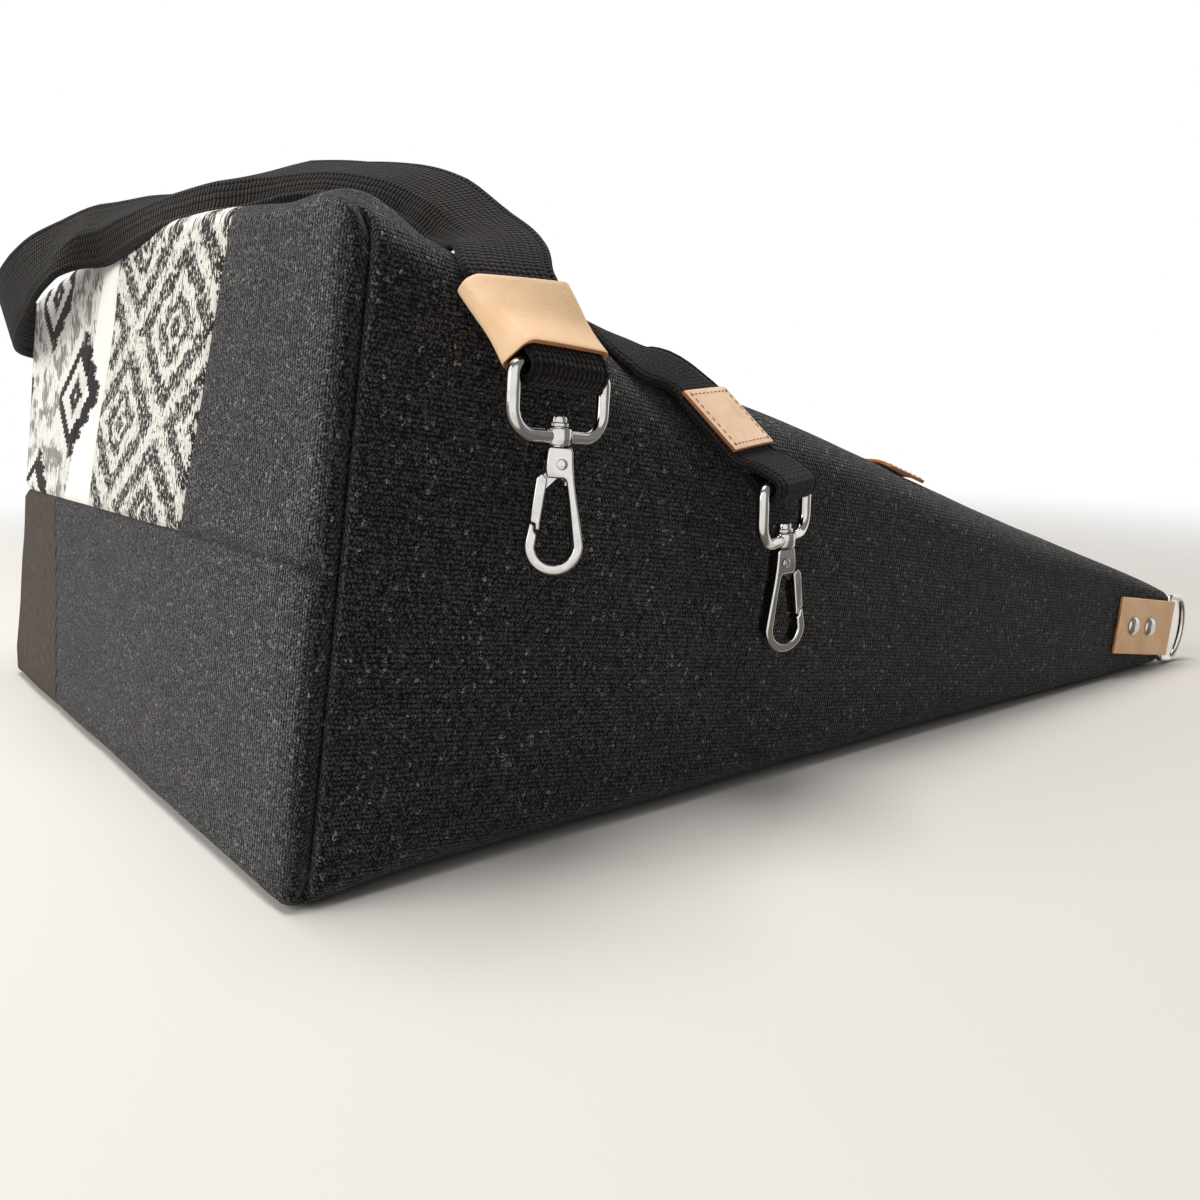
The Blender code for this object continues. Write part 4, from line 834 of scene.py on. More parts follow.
def crown(y, m):
    across = max(0.0, 1 - (y / half_width(m)) ** 2)
    shoulder = mix(*SHOULDER, ease(0.0, SHOULDER_RISE, m)) * ease(*SHOULDER_ACROSS, -y)
    shoulder *= 1 - ease(*SHOULDER_FADE, m)
    return CROWN * across * (1 - ease(*CROWN_FADE, m)) + shoulder


def bag_point(m, y, v):
    return BASE_MIDDLE + ALONG * m + ACROSS * y + FRONT * v


def over_core(point, soft):
    """A point's place in the bag, and how far it lies outside the bag shrunk by a soft distance."""
    rest = point - BASE_MIDDLE
    m, y, v = rest.dot(ALONG), rest.y, rest.dot(FRONT)
    top = half_depth(m) + (crown(y, m) if v > 0 else 0.0)
    over_m = max(soft - m, 0.0)
    over_y = max(abs(y) - half_width(m) + soft, 0.0)
    over_v = max(abs(v) - top + min(soft, top * 0.7), 0.0)
    return m, y, v, over_m, over_y, over_v


def way_out(y, v, over_m, over_y, over_v):
    return ACROSS * (over_y if y > 0 else -over_y) + FRONT * (over_v if v > 0 else -over_v) - ALONG * over_m


def outward(point):
    """The way out of the bag at a point of its cloth, and how much the point is on an edge of the sides."""
    _, y, v, over_m, over_y, over_v = over_core(point, SOFT_CORE)
    others = max(over_m, over_v)
    edge = min(over_y, others) / max(over_y, others, 0.001)
    return way_out(y, v, over_m, over_y, over_v).normalized(), ease(0.35, 0.85, edge)


def softened(point):
    """The same point where the box's sharp edges are round."""
    _, y, v, over_m, over_y, over_v = over_core(point, SOFT_EDGE)
    way = way_out(y, v, over_m, over_y, over_v)
    return point - way * max(1 - SOFT_EDGE / max(way.length, 1e-6), 0.0)


def side_seam(point, depth=SIDE_SEAM_DEPTH, reach=SIDE_SEAM_REACH):
    """Depth of the seam that joins the near side to the base, a little way round the edge."""
    m, y, _, _, over_y, over_v = over_core(point, SOFT_CORE)
    if y > 0:
        return 0.0
    on_side = ease(-0.004, 0.003, over_y - over_v) * ease(-0.002, 0.004, over_y - SOFT_CORE + 0.007)
    away = abs(m - SIDE_SEAM_PLACE) / reach
    return depth * on_side * max(1 - away, 0.0) ** 1.7


def seam_on_panel(seam, m):
    return seam[1] + SEAM_SLOPE * m


def corner(m, angle, front, side, inset):
    radius = front_round(m) if front else back_round(m)
    radius = max(radius - inset, 0.0008)
    y = half_width(m) - inset - radius + radius * cos(angle)
    v = half_depth(m) - inset - radius + radius * sin(angle)
    if front:
        v += crown(y, m) * sin(angle)
    return (side * y, v if front else -v)


def eased_angles(radius, towards, rest):
    """Angles round a corner from its middle, the first two close to the seam there."""
    close = [pi / 4 + towards * min(away / radius, most) for away, most in ((0.0008, 0.05), (0.0020, 0.12))]
    return (pi / 4, *close, *rest)


def side_angles(radius):
    return eased_angles(radius, -1, (3 * pi / 16, pi / 8, pi / 16, 0.0))


def panel_angles(radius):
    return eased_angles(radius, 1, (5 * pi / 16, 3 * pi / 8, 7 * pi / 16, pi / 2))


def side_columns(m, side, inset):
    """Places up a side, from the middle of the back rounding to the middle of the front one."""
    back = [corner(m, a, False, side, inset) for a in side_angles(back_round(m))]
    front = [corner(m, a, True, side, inset) for a in reversed(side_angles(front_round(m)))]
    edge = side * (half_width(m) - inset)
    low, high = back[-1][1], front[0][1]
    levels = [low * t for t in SIDE_SHARES] + [0.0] + [high * t for t in reversed(SIDE_SHARES)]
    return back + [(edge, level) for level in levels] + front


def spaced(start, stop, parts, near, far):
    """Places after start and up to stop, closer together beside a seam."""
    first = start + (SEAM_STEPS[-1] if near else 0.0)
    last = stop - (SEAM_STEPS[-1] if far else 0.0)
    places = [start + d for d in SEAM_STEPS[:-1]] if near else []
    places += [mix(first, last, k / parts) for k in range(0 if near else 1, parts + 1)]
    if far:
        places += [stop - d for d in reversed(SEAM_STEPS[:-1])] + [stop]
    return places


FRONT_PARTS = ((CHARCOAL_SEAM, 8), (IKAT_SEAM, 12), (WHITE_SEAM, 3))
BACK_PARTS = ((CORDUROY_SEAM, 22),)
LAST_PARTS = 13


def parts_of(front):
    return FRONT_PARTS if front else BACK_PARTS


def panel_columns(m, front, inset):
    """Places across a panel, from the middle of the near rounding to the middle of the far one."""
    angles = panel_angles(front_round(m) if front else back_round(m))
    near = [corner(m, a, front, -1, inset) for a in angles]
    far = [corner(m, a, front, 1, inset) for a in reversed(angles)]
    level = half_depth(m) - inset
    places = []
    start = near[-1][0]
    for number, (seam, parts) in enumerate(parts_of(front)):
        stop = seam_on_panel(seam, m)
        places += spaced(start, stop, parts, number > 0, True)
        start = stop
    places += spaced(start, far[0][0], LAST_PARTS, True, False)[:-1]
    flat = [(y, level + crown(y, m) if front else -level) for y in places]
    return near + flat + far


def middle_places(inset, front):
    """Where a panel's columns meet the base's centre seam."""
    columns = panel_columns(0.0, front, inset)
    near = -half_width(0.0) + inset
    seams = [k for k, c in enumerate(columns) for s, _ in parts_of(front) if c[0] == s[1]]
    stops = [(0, near)] + [(k, s[0]) for k, (s, _) in zip(seams, parts_of(front))]
    stops.append((len(columns) - 1, -near))
    places = []
    for (first, a), (last, b) in zip(stops, stops[1:]):
        low, high = columns[first][0], columns[last][0]
        places += [mix(a, b, (columns[k][0] - low) / (high - low)) for k in range(first, last)]
    return places + [-near], seams


def fold_radius(columns, index, front, inset):
    reach = min(abs(columns[index][0] - columns[0][0]), abs(columns[index][0] - columns[-1][0]))
    return max((FRONT_FOLD if front else BACK_FOLD) * ease(0.0, FOLD_FADE, reach) - inset, 0.0)


def stations(end):
    """Distances from the base of the cloth's rows, from the mouth down to where the fold begins."""
    return [mix(end, EVEN_ROWS_END, k / STATIONS) for k in range(STATIONS + 1)]


def panel_grid(front, inset=0.0, proud=0.0):
    """Rows down the panel from the mouth, round the fold and over half of the base, with cloth places."""
    sign = 1 if front else -1
    flat = panel_columns(0.0, front, inset)
    count = len(flat)
    radii = [fold_radius(flat, k, front, inset) for k in range(count)]
    base = [panel_columns(inset + radius, front, inset)[k] for k, radius in enumerate(radii)]
    rows = []
    places = []
    depth = half_depth(0.0)
    for number, m in enumerate(stations(BAG_LENGTH)):
        reach = [m + (proud * sin(pi * k / (count - 1)) if not number else 0.0) for k in range(count)]
        columns = panel_columns(m, front, inset)
        rows.append([bag_point(r, *columns[k]) for k, r in enumerate(reach)])
        places.append([(columns[k][0], depth + r) for k, r in enumerate(reach)])
    for m in NEAR_FOLD:
        reach = [inset + radius + m * (EVEN_ROWS_END - radius) / EVEN_ROWS_END for radius in radii]
        columns = [panel_columns(r, front, inset)[k] for k, r in enumerate(reach)]
        rows.append([bag_point(r, *c) for r, c in zip(reach, columns)])
        places.append([(c[0], depth + r) for r, c in zip(reach, columns)])
    for step in range(FOLD_STEPS + 1):
        turn = pi / 2 * step / FOLD_STEPS
        row, line = [], []
        for k, (y, v) in enumerate(base):
            m = inset + radii[k] * (1 - sin(turn))
            row.append(bag_point(m, y, v - sign * radii[k] * (1 - cos(turn))))
            line.append((y, depth + m))
        rows.append(row)
        places.append(line)
    edge = side_columns(inset, -1, inset)
    half = len(edge) // 2
    edge = edge[half:][::-1] if front else edge[:half + 1]
    middle, seams = middle_places(inset, front)
    height = abs(edge[0][1])
    for edge_y, edge_v in edge[1:]:
        share = abs(edge_v) / height
        row, line = [], []
        for k, (y, v) in enumerate(base):
            level = share * (v - sign * radii[k])
            place = mix(middle[k], y, share)
            if k in (0, count - 1):
                place, level = (edge_y if k == 0 else -edge_y), edge_v
            row.append(bag_point(inset, place, level))
            line.append((place, share * depth))
        rows.append(row)
        places.append(line)
    return rows, places, seams


def side_grid(side, inset=0.0):
    rows = []
    places = []
    for m in stations(BAG_LENGTH) + [inset + r for r in NEAR_FOLD] + [inset]:
        columns = side_columns(m, side, inset)
        rows.append([bag_point(m, *p) for p in columns])
        run = [0.0]
        for a, b in zip(columns, columns[1:]):
            run.append(run[-1] + ((a[0] - b[0]) ** 2 + (a[1] - b[1]) ** 2) ** 0.5)
        centre = run[len(run) // 2]
        places.append([(m, r - centre) for r in run])
    return rows, places


def nearest_among(spots):
    found = kdtree.KDTree(len(spots))
    for number, spot in enumerate(spots):
        found.insert(spot, number)
    found.balance()
    return found


def seam_spots(bag):
    """Points close together along every seam of the welded cloth."""
    spots = []
    for corners, _ in bag.faces:
        ring = [i for i, _ in corners]
        for a, b in zip(ring, ring[1:] + ring[:1]):
            if a in bag.seams and b in bag.seams and a < b:
                start, stop = bag.points[a], bag.points[b]
                steps = max(1, int((start - stop).length / SEAM_STEPS[0]))
                spots += [start.lerp(stop, t / steps) for t in range(steps + 1)]
    return spots


def slack(point):
    """How far the cloth sags at a point, from one slow and one quicker wave."""
    puff = 0.5 + 0.5 * noise.noise(point * 15.0) + 0.28 * noise.noise(point * 46.0)
    return SLACK * max(puff, 0.0)


def joined_cloth():
    """The sides and panels as one welded surface; a charcoal panel's threads run the other way."""
    bag = Sheets()
    for side, owner in ((-1, "charcoal"), (1, "far side")):
        rows, places = side_grid(side)
        last, end = len(rows) - 1, len(rows[0]) - 1
        bag.add(rows, places, lambda k: owner,
                lambda r, k: side > 0 and (r == last or k in (0, end)), side > 0)
    for front, names in ((True, ("wide", "white", "bold")), (False, ("corduroy",))):
        rows, places, seams = panel_grid(front)
        first = seams[0]
        starts = [k - first for k in seams]
        last, end = len(rows) - 1, len(rows[0]) - 1 - first
        turned = [[(v, u) for u, v in row[:first + 1]] for row in places]
        bag.add([row[:first + 1] for row in rows], turned, lambda k: "charcoal",
                lambda r, k: k == first or r == last, not front)
        bag.add([row[first:] for row in rows], [row[first:] for row in places],
                lambda k: names[sum(k >= start for start in starts) - 1],
                lambda r, k: k in starts or k == end or r == last, not front)
    return bag


def bag_cloth(strap_line):
    """Every outer cloth, sewn and slackened as one surface, then parted into its pieces."""
    bag = joined_cloth()
    seam = nearest_among(seam_spots(bag))
    strap = nearest_among(strap_line)
    moved_points = []
    for point in bag.points:
        way, edge = outward(point)
        reach = mix(SEAM_REACH, EDGE_SEAM_REACH, edge)
        away = seam.find(point)[2]
        sewn = mix(SEAM_DEPTH, EDGE_SEAM_DEPTH, edge) * (1 - ease(-0.0006, reach, away)) ** 1.2
        loose = slack(point) * ease(*TIGHT_UNDER_STRAP, strap.find(point)[2])
        moved_points.append(softened(point) - way * (max(sewn, 0.0) + loose + side_seam(point)))
    bag.points = moved_points
    for owner, name, replaced, slot, finish in (
            ("charcoal", "charcoal_cloth", "charcoal_body", "charcoal_cloth", CHARCOAL),
            ("wide", "wide_ikat_cloth", "ikat_strip_wide", "ikat_wide", WIDE_IKAT),
            ("white", "white_cotton_cloth", "white_strip", "off_white_cotton", WHITE),
            ("bold", "bold_ikat_cloth", "ikat_strip_bold", "ikat_bold", BOLD_IKAT),
            ("corduroy", "corduroy_cloth", "corduroy_strip", "brown_corduroy", CORDUROY),
            ("far side", "far_side_cloth", "far_side_panel", "charcoal_cloth", CHARCOAL)):
        data = baked(bag.mesh_of(owner, [finish]), [shelled(SHELL, even=False)])
        finished(data, name, "bag", [replaced])


def lining_cloth():
    """The navy pouch inside, drawn in along the bag's edges so that it stays behind the outer seams."""
    inner = Sheets()
    for side in (-1, 1):
        rows, places = side_grid(side, LINING_INSET)
        inner.add(rows, places, lambda k: "lining", flip=side > 0)
    for front in (True, False):
        rows, places, _ = panel_grid(front, LINING_INSET, LINING_PROUD)
        inner.add(rows, places, lambda k: "lining", flip=not front)
    moved_points = []
    for point in inner.points:
        way, edge = outward(point)
        tucked = side_seam(point, SIDE_SEAM_DEPTH * 1.25, SIDE_SEAM_REACH * 4)
        moved_points.append(point - way * (slack(point) + EDGE_SEAM_DEPTH * edge + tucked))
    inner.points = moved_points
    data = baked(inner.mesh_of("lining", [NAVY]), [shelled(LINING, even=False)])
    finished(data, "navy_lining_cloth", "bag", ["lining"])


# The strap's route, from one clip's eye to the other

def smooth_route(shape, step):
    points = [Vector(p) for p, _, _ in shape]
    sides = [Vector(s).normalized() for _, s, _ in shape]
    frees = [f for _, _, f in shape]
    points = [points[0] * 2 - points[1]] + points + [points[-1] * 2 - points[-2]]
    sides = [sides[0]] + sides + [sides[-1]]
    frees = [frees[0]] + frees + [frees[-1]]
    route = []
    for k in range(1, len(points) - 2):
        a, b, c, d = points[k - 1:k + 3]
        count = max(1, round((c - b).length / step))
        for i in range(count):
            t = i / count
            place = b + (c - a) * (t / 2) + (a * 2 - b * 5 + c * 4 - d) * (t * t / 2)
            place += (b * 3 - a - c * 3 + d) * (t ** 3 / 2)
            route.append((place, sides[k].lerp(sides[k + 1], t), mix(frees[k], frees[k + 1], t)))
    route.append((points[-2], sides[-1], frees[-1]))
    return route


def squared(route):
    """Place, side and outward direction of each station, the side made square where it is free."""
    result = []
    for k, (place, side, free) in enumerate(route):
        before = route[max(k - 1, 0)][0]
        after = route[min(k + 1, len(route) - 1)][0]
        tangent = (after - before).normalized()
        side = (side - tangent * side.dot(tangent) * free).normalized()
        result.append((place, side, tangent.cross(side).normalized()))
    return result


def bar_frame(turn, dip):
    """Along a clip's bar, into the bag and up."""
    bar = Vector((cos(turn) * cos(dip), sin(turn) * cos(dip), -sin(dip)))
    inward = Vector((-sin(turn), cos(turn), 0.0))
    return bar, inward, bar.cross(inward)


def resting(m, y):
    """A station of the strap where it lies on the front panel."""
    places = [m + STRAP_WIDTH * share for share in (0.5, 0.0, -0.5)]
    points = [bag_point(place, y, half_depth(place) + crown(y, place)) for place in places]
    side = (points[2] - points[0]).normalized()
    level = max(FRONT.dot(points[1]), FRONT.dot(points[0] + points[2]) / 2)
    lift = level - FRONT.dot(points[1]) + STRAP / 2 + TOUCH_GAP
    return (points[1] + FRONT * lift, side, 1.0)


LAYER = (STRAP + TOUCH_GAP) / 2
LOOP_RADIUS = EYE_WIRE / 2 + BAR_GAP + STRAP / 2


def spread(reach):
    return mix(LOOP_RADIUS, LAYER, ease(-0.004, LAYERS_MEET, reach))


class FoldedEnd:
    """A strap end folded round an eye's bar: it rises from the bar, leaning and turning as it goes."""

    def __init__(self, at, bar, rise, side, overlap):
        self.at = at
        self.bar = bar
        lean = rise.dot(bar)
        self.up = (rise - bar * lean).normalized()
        self.lean = lean / (rise - bar * lean).length
        self.side = side.normalized()
        self.overlap = overlap

    def middle(self, reach):
        return self.at + self.up * reach + self.bar * self.lean * max(reach - 0.002, 0.0)

    def across(self, reach):
        return self.bar.lerp(self.side, ease(0.0, self.overlap, reach)).normalized()

    def out(self, reach):
        rise = self.up + self.bar * (self.lean if reach > 0 else 0.0)
        return self.across(reach).cross(rise).normalized()

    def layer(self, reach, sign):
        return (self.middle(reach) + self.out(reach) * spread(reach) * sign, self.across(reach), 0.0)

    def stations(self):
        reaches = [r for r in (0.0, 0.004, 0.008, 0.012, LAYERS_MEET, 0.022) if r < self.overlap - 0.002]
        reaches.append(self.overlap)
        shape = [self.layer(r, -1) for r in reversed(reaches)]
        for degrees in (-118, -138, -158, -178, 162, 142, 122):
            turn = radians(degrees)
            offset = self.up * cos(turn) + self.bar.cross(self.up) * sin(turn)
            shape.append((self.at + offset * LOOP_RADIUS, self.bar, 0.0))
        return shape + [self.layer(r, 1) for r in reaches]


BASE_BAR = bar_frame(BASE_CLIP_TURN, BASE_CLIP_DIP)[0]
MOUTH_BAR = bar_frame(MOUTH_CLIP_TURN, MOUTH_CLIP_DIP)[0]
BASE_END = FoldedEnd(BASE_CLIP_AT, BASE_BAR, BASE_STRAP_RISE, BASE_STRAP_SIDE, BASE_OVERLAP)
MOUTH_END = FoldedEnd(MOUTH_CLIP_AT, MOUTH_BAR, MOUTH_STRAP_RISE, MOUTH_STRAP_SIDE, MOUTH_OVERLAP)
PATCH_UP = PATCH_RISE.normalized()
PATCH_SIDE = -MOUTH_END.side
PATCH_OUT = PATCH_UP.cross(PATCH_SIDE).normalized()


def strap_route():
    shape = BASE_END.stations()
    shape += [(p, s, 1.0) for p, s in STRAP_ROUTE]
    shape += [resting(m, y) for m, y in STRAP_REST]
    shape += [(p, s, 1.0) for p, s in STRAP_OVER_EDGE]
    for reach in (0.62, 0.3, -0.1, -0.56):
        shape.append((PATCH_AT + PATCH_UP * PATCH_LENGTH * reach, PATCH_SIDE, 0.0))
    shape += [(p, -s, 0.0) for p, s, _ in reversed(MOUTH_END.stations())]
    return squared(smooth_route(shape, 0.0028))


# Half of the webbing's section: across from its edge and out from its middle, with a groove beside the edge
WEBBING_EDGE = ((-0.0150, 0.0), (-0.0148, 0.0008), (-0.0141, 0.0014), (-0.0133, 0.00148), (-0.0126, 0.0012),
                (-0.0122, 0.0011), (-0.0116, 0.00135), (-0.0108, 0.0015), (-0.0085, 0.0015),
                (-0.0070, 0.0015), (-0.0060, 0.0015), (-0.0050, 0.0015), (-0.0030, 0.0015), (0.0, 0.0015))
CREASE_PLACE = -0.0060
CREASE_RISE = 0.0042
CREASED = (-0.166, -0.140, 0.040, 0.075)
EDGE_DROP = 0.0024
EDGE_DROPPED = (-0.176, -0.166, -0.150, -0.138)
EDGE_HANG = 0.0048
EDGE_HUNG = (-0.078, -0.052, 0.040, 0.070)
MIDDLE_DROP = 0.0042
NEAR_DROP = 0.0016
LAID_OVER_EDGE = (-0.184, -0.175, -0.174, -0.154)
RETURN_BEGINS = -0.125
SLEEVE_ENDS = 0.186


def within(reach, y):
    """1 between the two inner places of a reach across the bag, fading to 0 at its outer ones."""
    return ease(reach[0], reach[1], y) * (1 - ease(reach[2], reach[3], y))


def strap_bend(place, a):
    """How far the webbing stands out of flat at a, its place across: a long crease, and edges let down."""
    half = STRAP_WIDTH / 2
    if place.x > RETURN_BEGINS:
        return -within(LAID_OVER_EDGE, place.y) * (MIDDLE_DROP + NEAR_DROP * a / half)
    if place.z < SLEEVE_ENDS:
        return 0.0
    side = half + CREASE_PLACE if a < CREASE_PLACE else half - CREASE_PLACE
    bend = CREASE_RISE * within(CREASED, place.y) * (1 - abs(a - CREASE_PLACE) / side)
    bend -= EDGE_DROP * within(EDGE_DROPPED, place.y) * max(-a - 0.002, 0.0) / 0.013
    return bend - EDGE_HANG * within(EDGE_HUNG, place.y) * max(-a - 0.005, 0.0) / 0.010


def webbing_strap(route):
    upper = list(WEBBING_EDGE) + [(-a, n) for a, n in reversed(WEBBING_EDGE[:-1])]
    ring = upper + [(a, -n) for a, n in reversed(upper[1:-1])] + [upper[0]]
    round_places = [a + STRAP_WIDTH / 2 for a, _ in upper]
    round_places += [a + STRAP_WIDTH * 1.5 for a, _ in reversed(upper[1:-1])]
    round_places.append(STRAP_WIDTH)
    rows, places = [], []
    run = 0.0
    for k, (place, side, out) in enumerate(route):
        run += (place - route[k - 1][0]).length if k else 0.0
        rows.append([place + side * a + out * (n - strap_bend(place, a)) for a, n in ring])
        places.append([(u, run) for u in round_places])
    data = plain_sheet(rows, [WEBBING], flip=True, places=places)
    with modelling(data) as work:
        work.from_mesh(data)
        bmesh.ops.holes_fill(work, edges=[e for e in work.edges if e.is_boundary])
    finished(data, "webbing_strap", "bag", ["shoulder_strap"], 55)


def sleeve_leather():
    """The leather sleeve round the strap's two layers, its raw edges showing at both ends."""
    radius = LEATHER * 1.7
    half = SLEEVE_WIDTH / 2 - LEATHER
    rows = []
    for step in range(15):
        reach = mix(SLEEVE_REACH[0], SLEEVE_REACH[1], step / 14)
        thick = spread(reach) + STRAP / 2 + 2 * TOUCH_GAP
        across, out, middle = BASE_END.across(reach), BASE_END.out(reach), BASE_END.middle(reach)
        ring = []
        for sy, sn, turn in ((1, 1, 0), (-1, 1, 1), (-1, -1, 2), (1, -1, 3)):
            for k in range(7):
                angle = pi / 2 * (turn + k / 6)
                a = sy * (half - radius) + radius * cos(angle)
                n = sn * (thick - radius) + radius * sin(angle)
                ring.append(middle + across * a + out * n)
            if turn in (0, 2):
                for k in range(1, 6):
                    a = sy * (half - radius) * (1 - k / 3)
                    ring.append(middle + across * a + out * sn * (thick + 0.0002 * sin(pi * k / 6)))
        rows.append(ring + ring[:1])
    leather_slab(rows, PALE_LEATHER, "sleeve_leather", "strap_sleeve", flip=True, offset=1.0)


def leather_slab(rows, finish, name, replaced, flip=False, offset=0.0):
    """A sheet of leather with raw, slightly rounded edges."""
    data = plain_sheet(rows, [finish, RAW_EDGE], flip=flip)
    data = baked(data, [shelled(LEATHER, offset, 1), rounded(RAW_EDGE_ROUND)])
    finished(data, name, "bag", [replaced], 50)


def patch_leather():
    """The stitched patch on the strap's other end."""
    lift = STRAP / 2 + TOUCH_GAP + LEATHER / 2
    rows = []
    for k in range(13):
        middle = PATCH_AT + PATCH_UP * PATCH_LENGTH * (k / 12 - 0.5) * 0.96 + PATCH_OUT * lift
        rows.append([middle + PATCH_SIDE * PATCH_WIDTH * (j / 12 - 0.5)
                     - PATCH_OUT * 0.0002 * abs(j / 6 - 1) ** 3 for j in range(13)])
    leather_slab(rows, PATCH_LEATHER, "patch_leather", "strap_patch")
    reach = PATCH_LENGTH * 0.48 - STITCH_INSET
    half = PATCH_WIDTH / 2 - STITCH_INSET
    lift += LEATHER / 2 + 0.00005
    corners = [(-half, -reach), (half, -reach), (half, reach), (-half, reach)]
    paths = []
    for (a, b), (c, d) in zip(corners, corners[1:] + corners[:1]):
        paths.append([PATCH_AT + PATCH_OUT * lift + PATCH_SIDE * mix(a, c, t) + PATCH_UP * mix(b, d, t)
                      for t in (0.0, 0.5, 1.0)])
    stitches("patch_stitches", paths, 0.0026, 0.0018, 0.00036)


def label_leather():
    """The small label, laid round the front panel's near edge."""
    rows = []
    for row in range(15):
        m = LABEL_PLACE + LABEL_LENGTH * (row / 14 - 0.5)
        radius = front_round(m)
        points = []
        for k in range(17):
            reach = LABEL_INSET + LABEL_WIDTH * k / 16
            angle = min(reach / radius, pi / 2)
            y, v = corner(m, angle, True, -1, -TOUCH_GAP)
            y += max(reach - radius * pi / 2, 0.0)
            points.append(bag_point(m, y, v))
        rows.append(points)
    leather_slab(rows, TAN_LEATHER, "label_leather", "leather_label", flip=True, offset=1.0)
    lift = (FRONT - ACROSS * 0.6).normalized() * (LEATHER + 0.00008)
    rim = rows[1][1:-1], [r[-2] for r in rows[1:-1]], rows[-2][1:-1], [r[1] for r in rows[1:-1]]
    stitches("label_stitches", [[p + lift for p in path] for path in rim], 0.0030, 0.0020, 0.00036)


# Stitches along paths, by one tree of geometry nodes

def stitch_tree():
    tree = bpy.data.node_groups.new("row of stitches", "GeometryNodeTree")
    face = tree.interface
    face.new_socket("Path", in_out="INPUT", socket_type="NodeSocketGeometry")
    for label in ("Pitch", "Length", "Thickness"):
        face.new_socket(label, in_out="INPUT", socket_type="NodeSocketFloat")
    face.new_socket("Thread", in_out="INPUT", socket_type="NodeSocketMaterial")
    face.new_socket("Stitches", in_out="OUTPUT", socket_type="NodeSocketGeometry")
    given = tree.nodes.new("NodeGroupInput").outputs
    along = {"Curve": given["Path"], "Length": given["Pitch"]}
    points = node(tree, "GeometryNodeCurveToPoints", along, mode="LENGTH")
    ball = node(tree, "GeometryNodeMeshUVSphere", {"Segments": 8, "Rings": 6, "Radius": 0.5})
    thin = given["Thickness"]
    size = node(tree, "ShaderNodeCombineXYZ", {0: thin, 1: thin, 2: given["Length"]})
    dash = node(tree, "GeometryNodeTransform", {"Geometry": ball.outputs[0], "Scale": size.outputs[0]})
    laid = node(tree, "GeometryNodeInstanceOnPoints", {
        "Points": points.outputs[0], "Instance": dash.outputs[0], "Rotation": points.outputs["Rotation"]})
    real = node(tree, "GeometryNodeRealizeInstances", {"Geometry": laid.outputs[0]})
    dressed = node(tree, "GeometryNodeSetMaterial", {
        "Geometry": real.outputs[0], "Material": given["Thread"]})
    node(tree, "NodeGroupOutput", {"Stitches": dressed.outputs[0]})
    return tree


STITCH_TREE = stitch_tree()


def stitches(name, paths, pitch, length, thickness):
    """Sewn rows along paths: one more piece on the bag."""
    data = bpy.data.curves.new(name, "CURVE")
    data.dimensions = "3D"
    for path in paths:
        spline = data.splines.new("POLY")
        spline.points.add(len(path) - 1)
        for target, point in zip(spline.points, path):
            target.co = (*point, 1.0)
    holder = placed(name, data)
    sewing = holder.modifiers.new("stitches", "NODES")
    sewing.node_group = STITCH_TREE
    values = {"Pitch": pitch, "Length": length, "Thickness": thickness, "Thread": THREAD}
    for socket in STITCH_TREE.interface.items_tree:
        if socket.name in values:
            sewing[socket.identifier] = values[socket.name]
    finished(taken_from(holder), name, "bag", [])


# Ring tabs, rings and rivets

def side_frame(side):
    """The middle of the mouth's edge at a side, towards the mouth, and out of the bag."""
    towards = (ALONG * BAG_LENGTH + ACROSS * side * MOUTH_FLARE).normalized()
    outward = (ACROSS * side - towards * towards.dot(ACROSS * side)).normalized()
    edge = bag_point(BAG_LENGTH, side * half_width(BAG_LENGTH), 0.0)
    return edge, towards, outward


WALL = CLOTH + LINING_CLEARANCE + LINING
TAB_INNER_RADIUS = max(WALL / 2 + TOUCH_GAP, RING_WIRE / 2 + TOUCH_GAP)
RING_CENTRE = RING_WIRE / 2 + 2 * TOUCH_GAP


def tab_leather(name, side, replaced):
    """A leather tab folded over the mouth's edge, round the ring's straight side."""
    edge, towards, outward = side_frame(side)
    radius = TAB_INNER_RADIUS + LEATHER / 2
    middle = edge - outward * WALL / 2
    shape = [(mix(-TAB_LEAF, 0.0, k / 10), radius) for k in range(11)]
    for k in range(1, 16):
        angle = pi / 2 - pi * k / 16
        shape.append((RING_CENTRE + radius * cos(angle), radius * sin(angle)))
    shape += [(mix(0.0, -TAB_INNER_LEAF, k / 8), -radius) for k in range(9)]
    rows = []
    for a, n in shape:
        place = middle + towards * a + outward * n
        rows.append([place + FRONT * TAB_WIDTH * (k / 8 - 0.5) for k in range(9)])
    leather_slab(rows, TAN_LEATHER, name, replaced)


def lathe(profile, steps=40):
    """A turned solid about Z from (radius, height) points, first and last on the axis."""
    data = bpy.data.meshes.new("turned")
    turns = [2 * pi * k / steps for k in range(steps)]
    with modelling(data) as work:
        rings = [[work.verts.new((radius * cos(turn), radius * sin(turn), height))
                  for turn in (turns if radius else turns[:1])] for radius, height in profile]
        for upper, lower in zip(rings, rings[1:]):
            for k in range(steps):
                j = (k + 1) % steps
                corners = (upper[k % len(upper)], upper[j % len(upper)],
                           lower[j % len(lower)], lower[k % len(lower)])
                unique = list(dict.fromkeys(corners))
                if len(unique) > 2:
                    work.faces.new(unique)
    return data


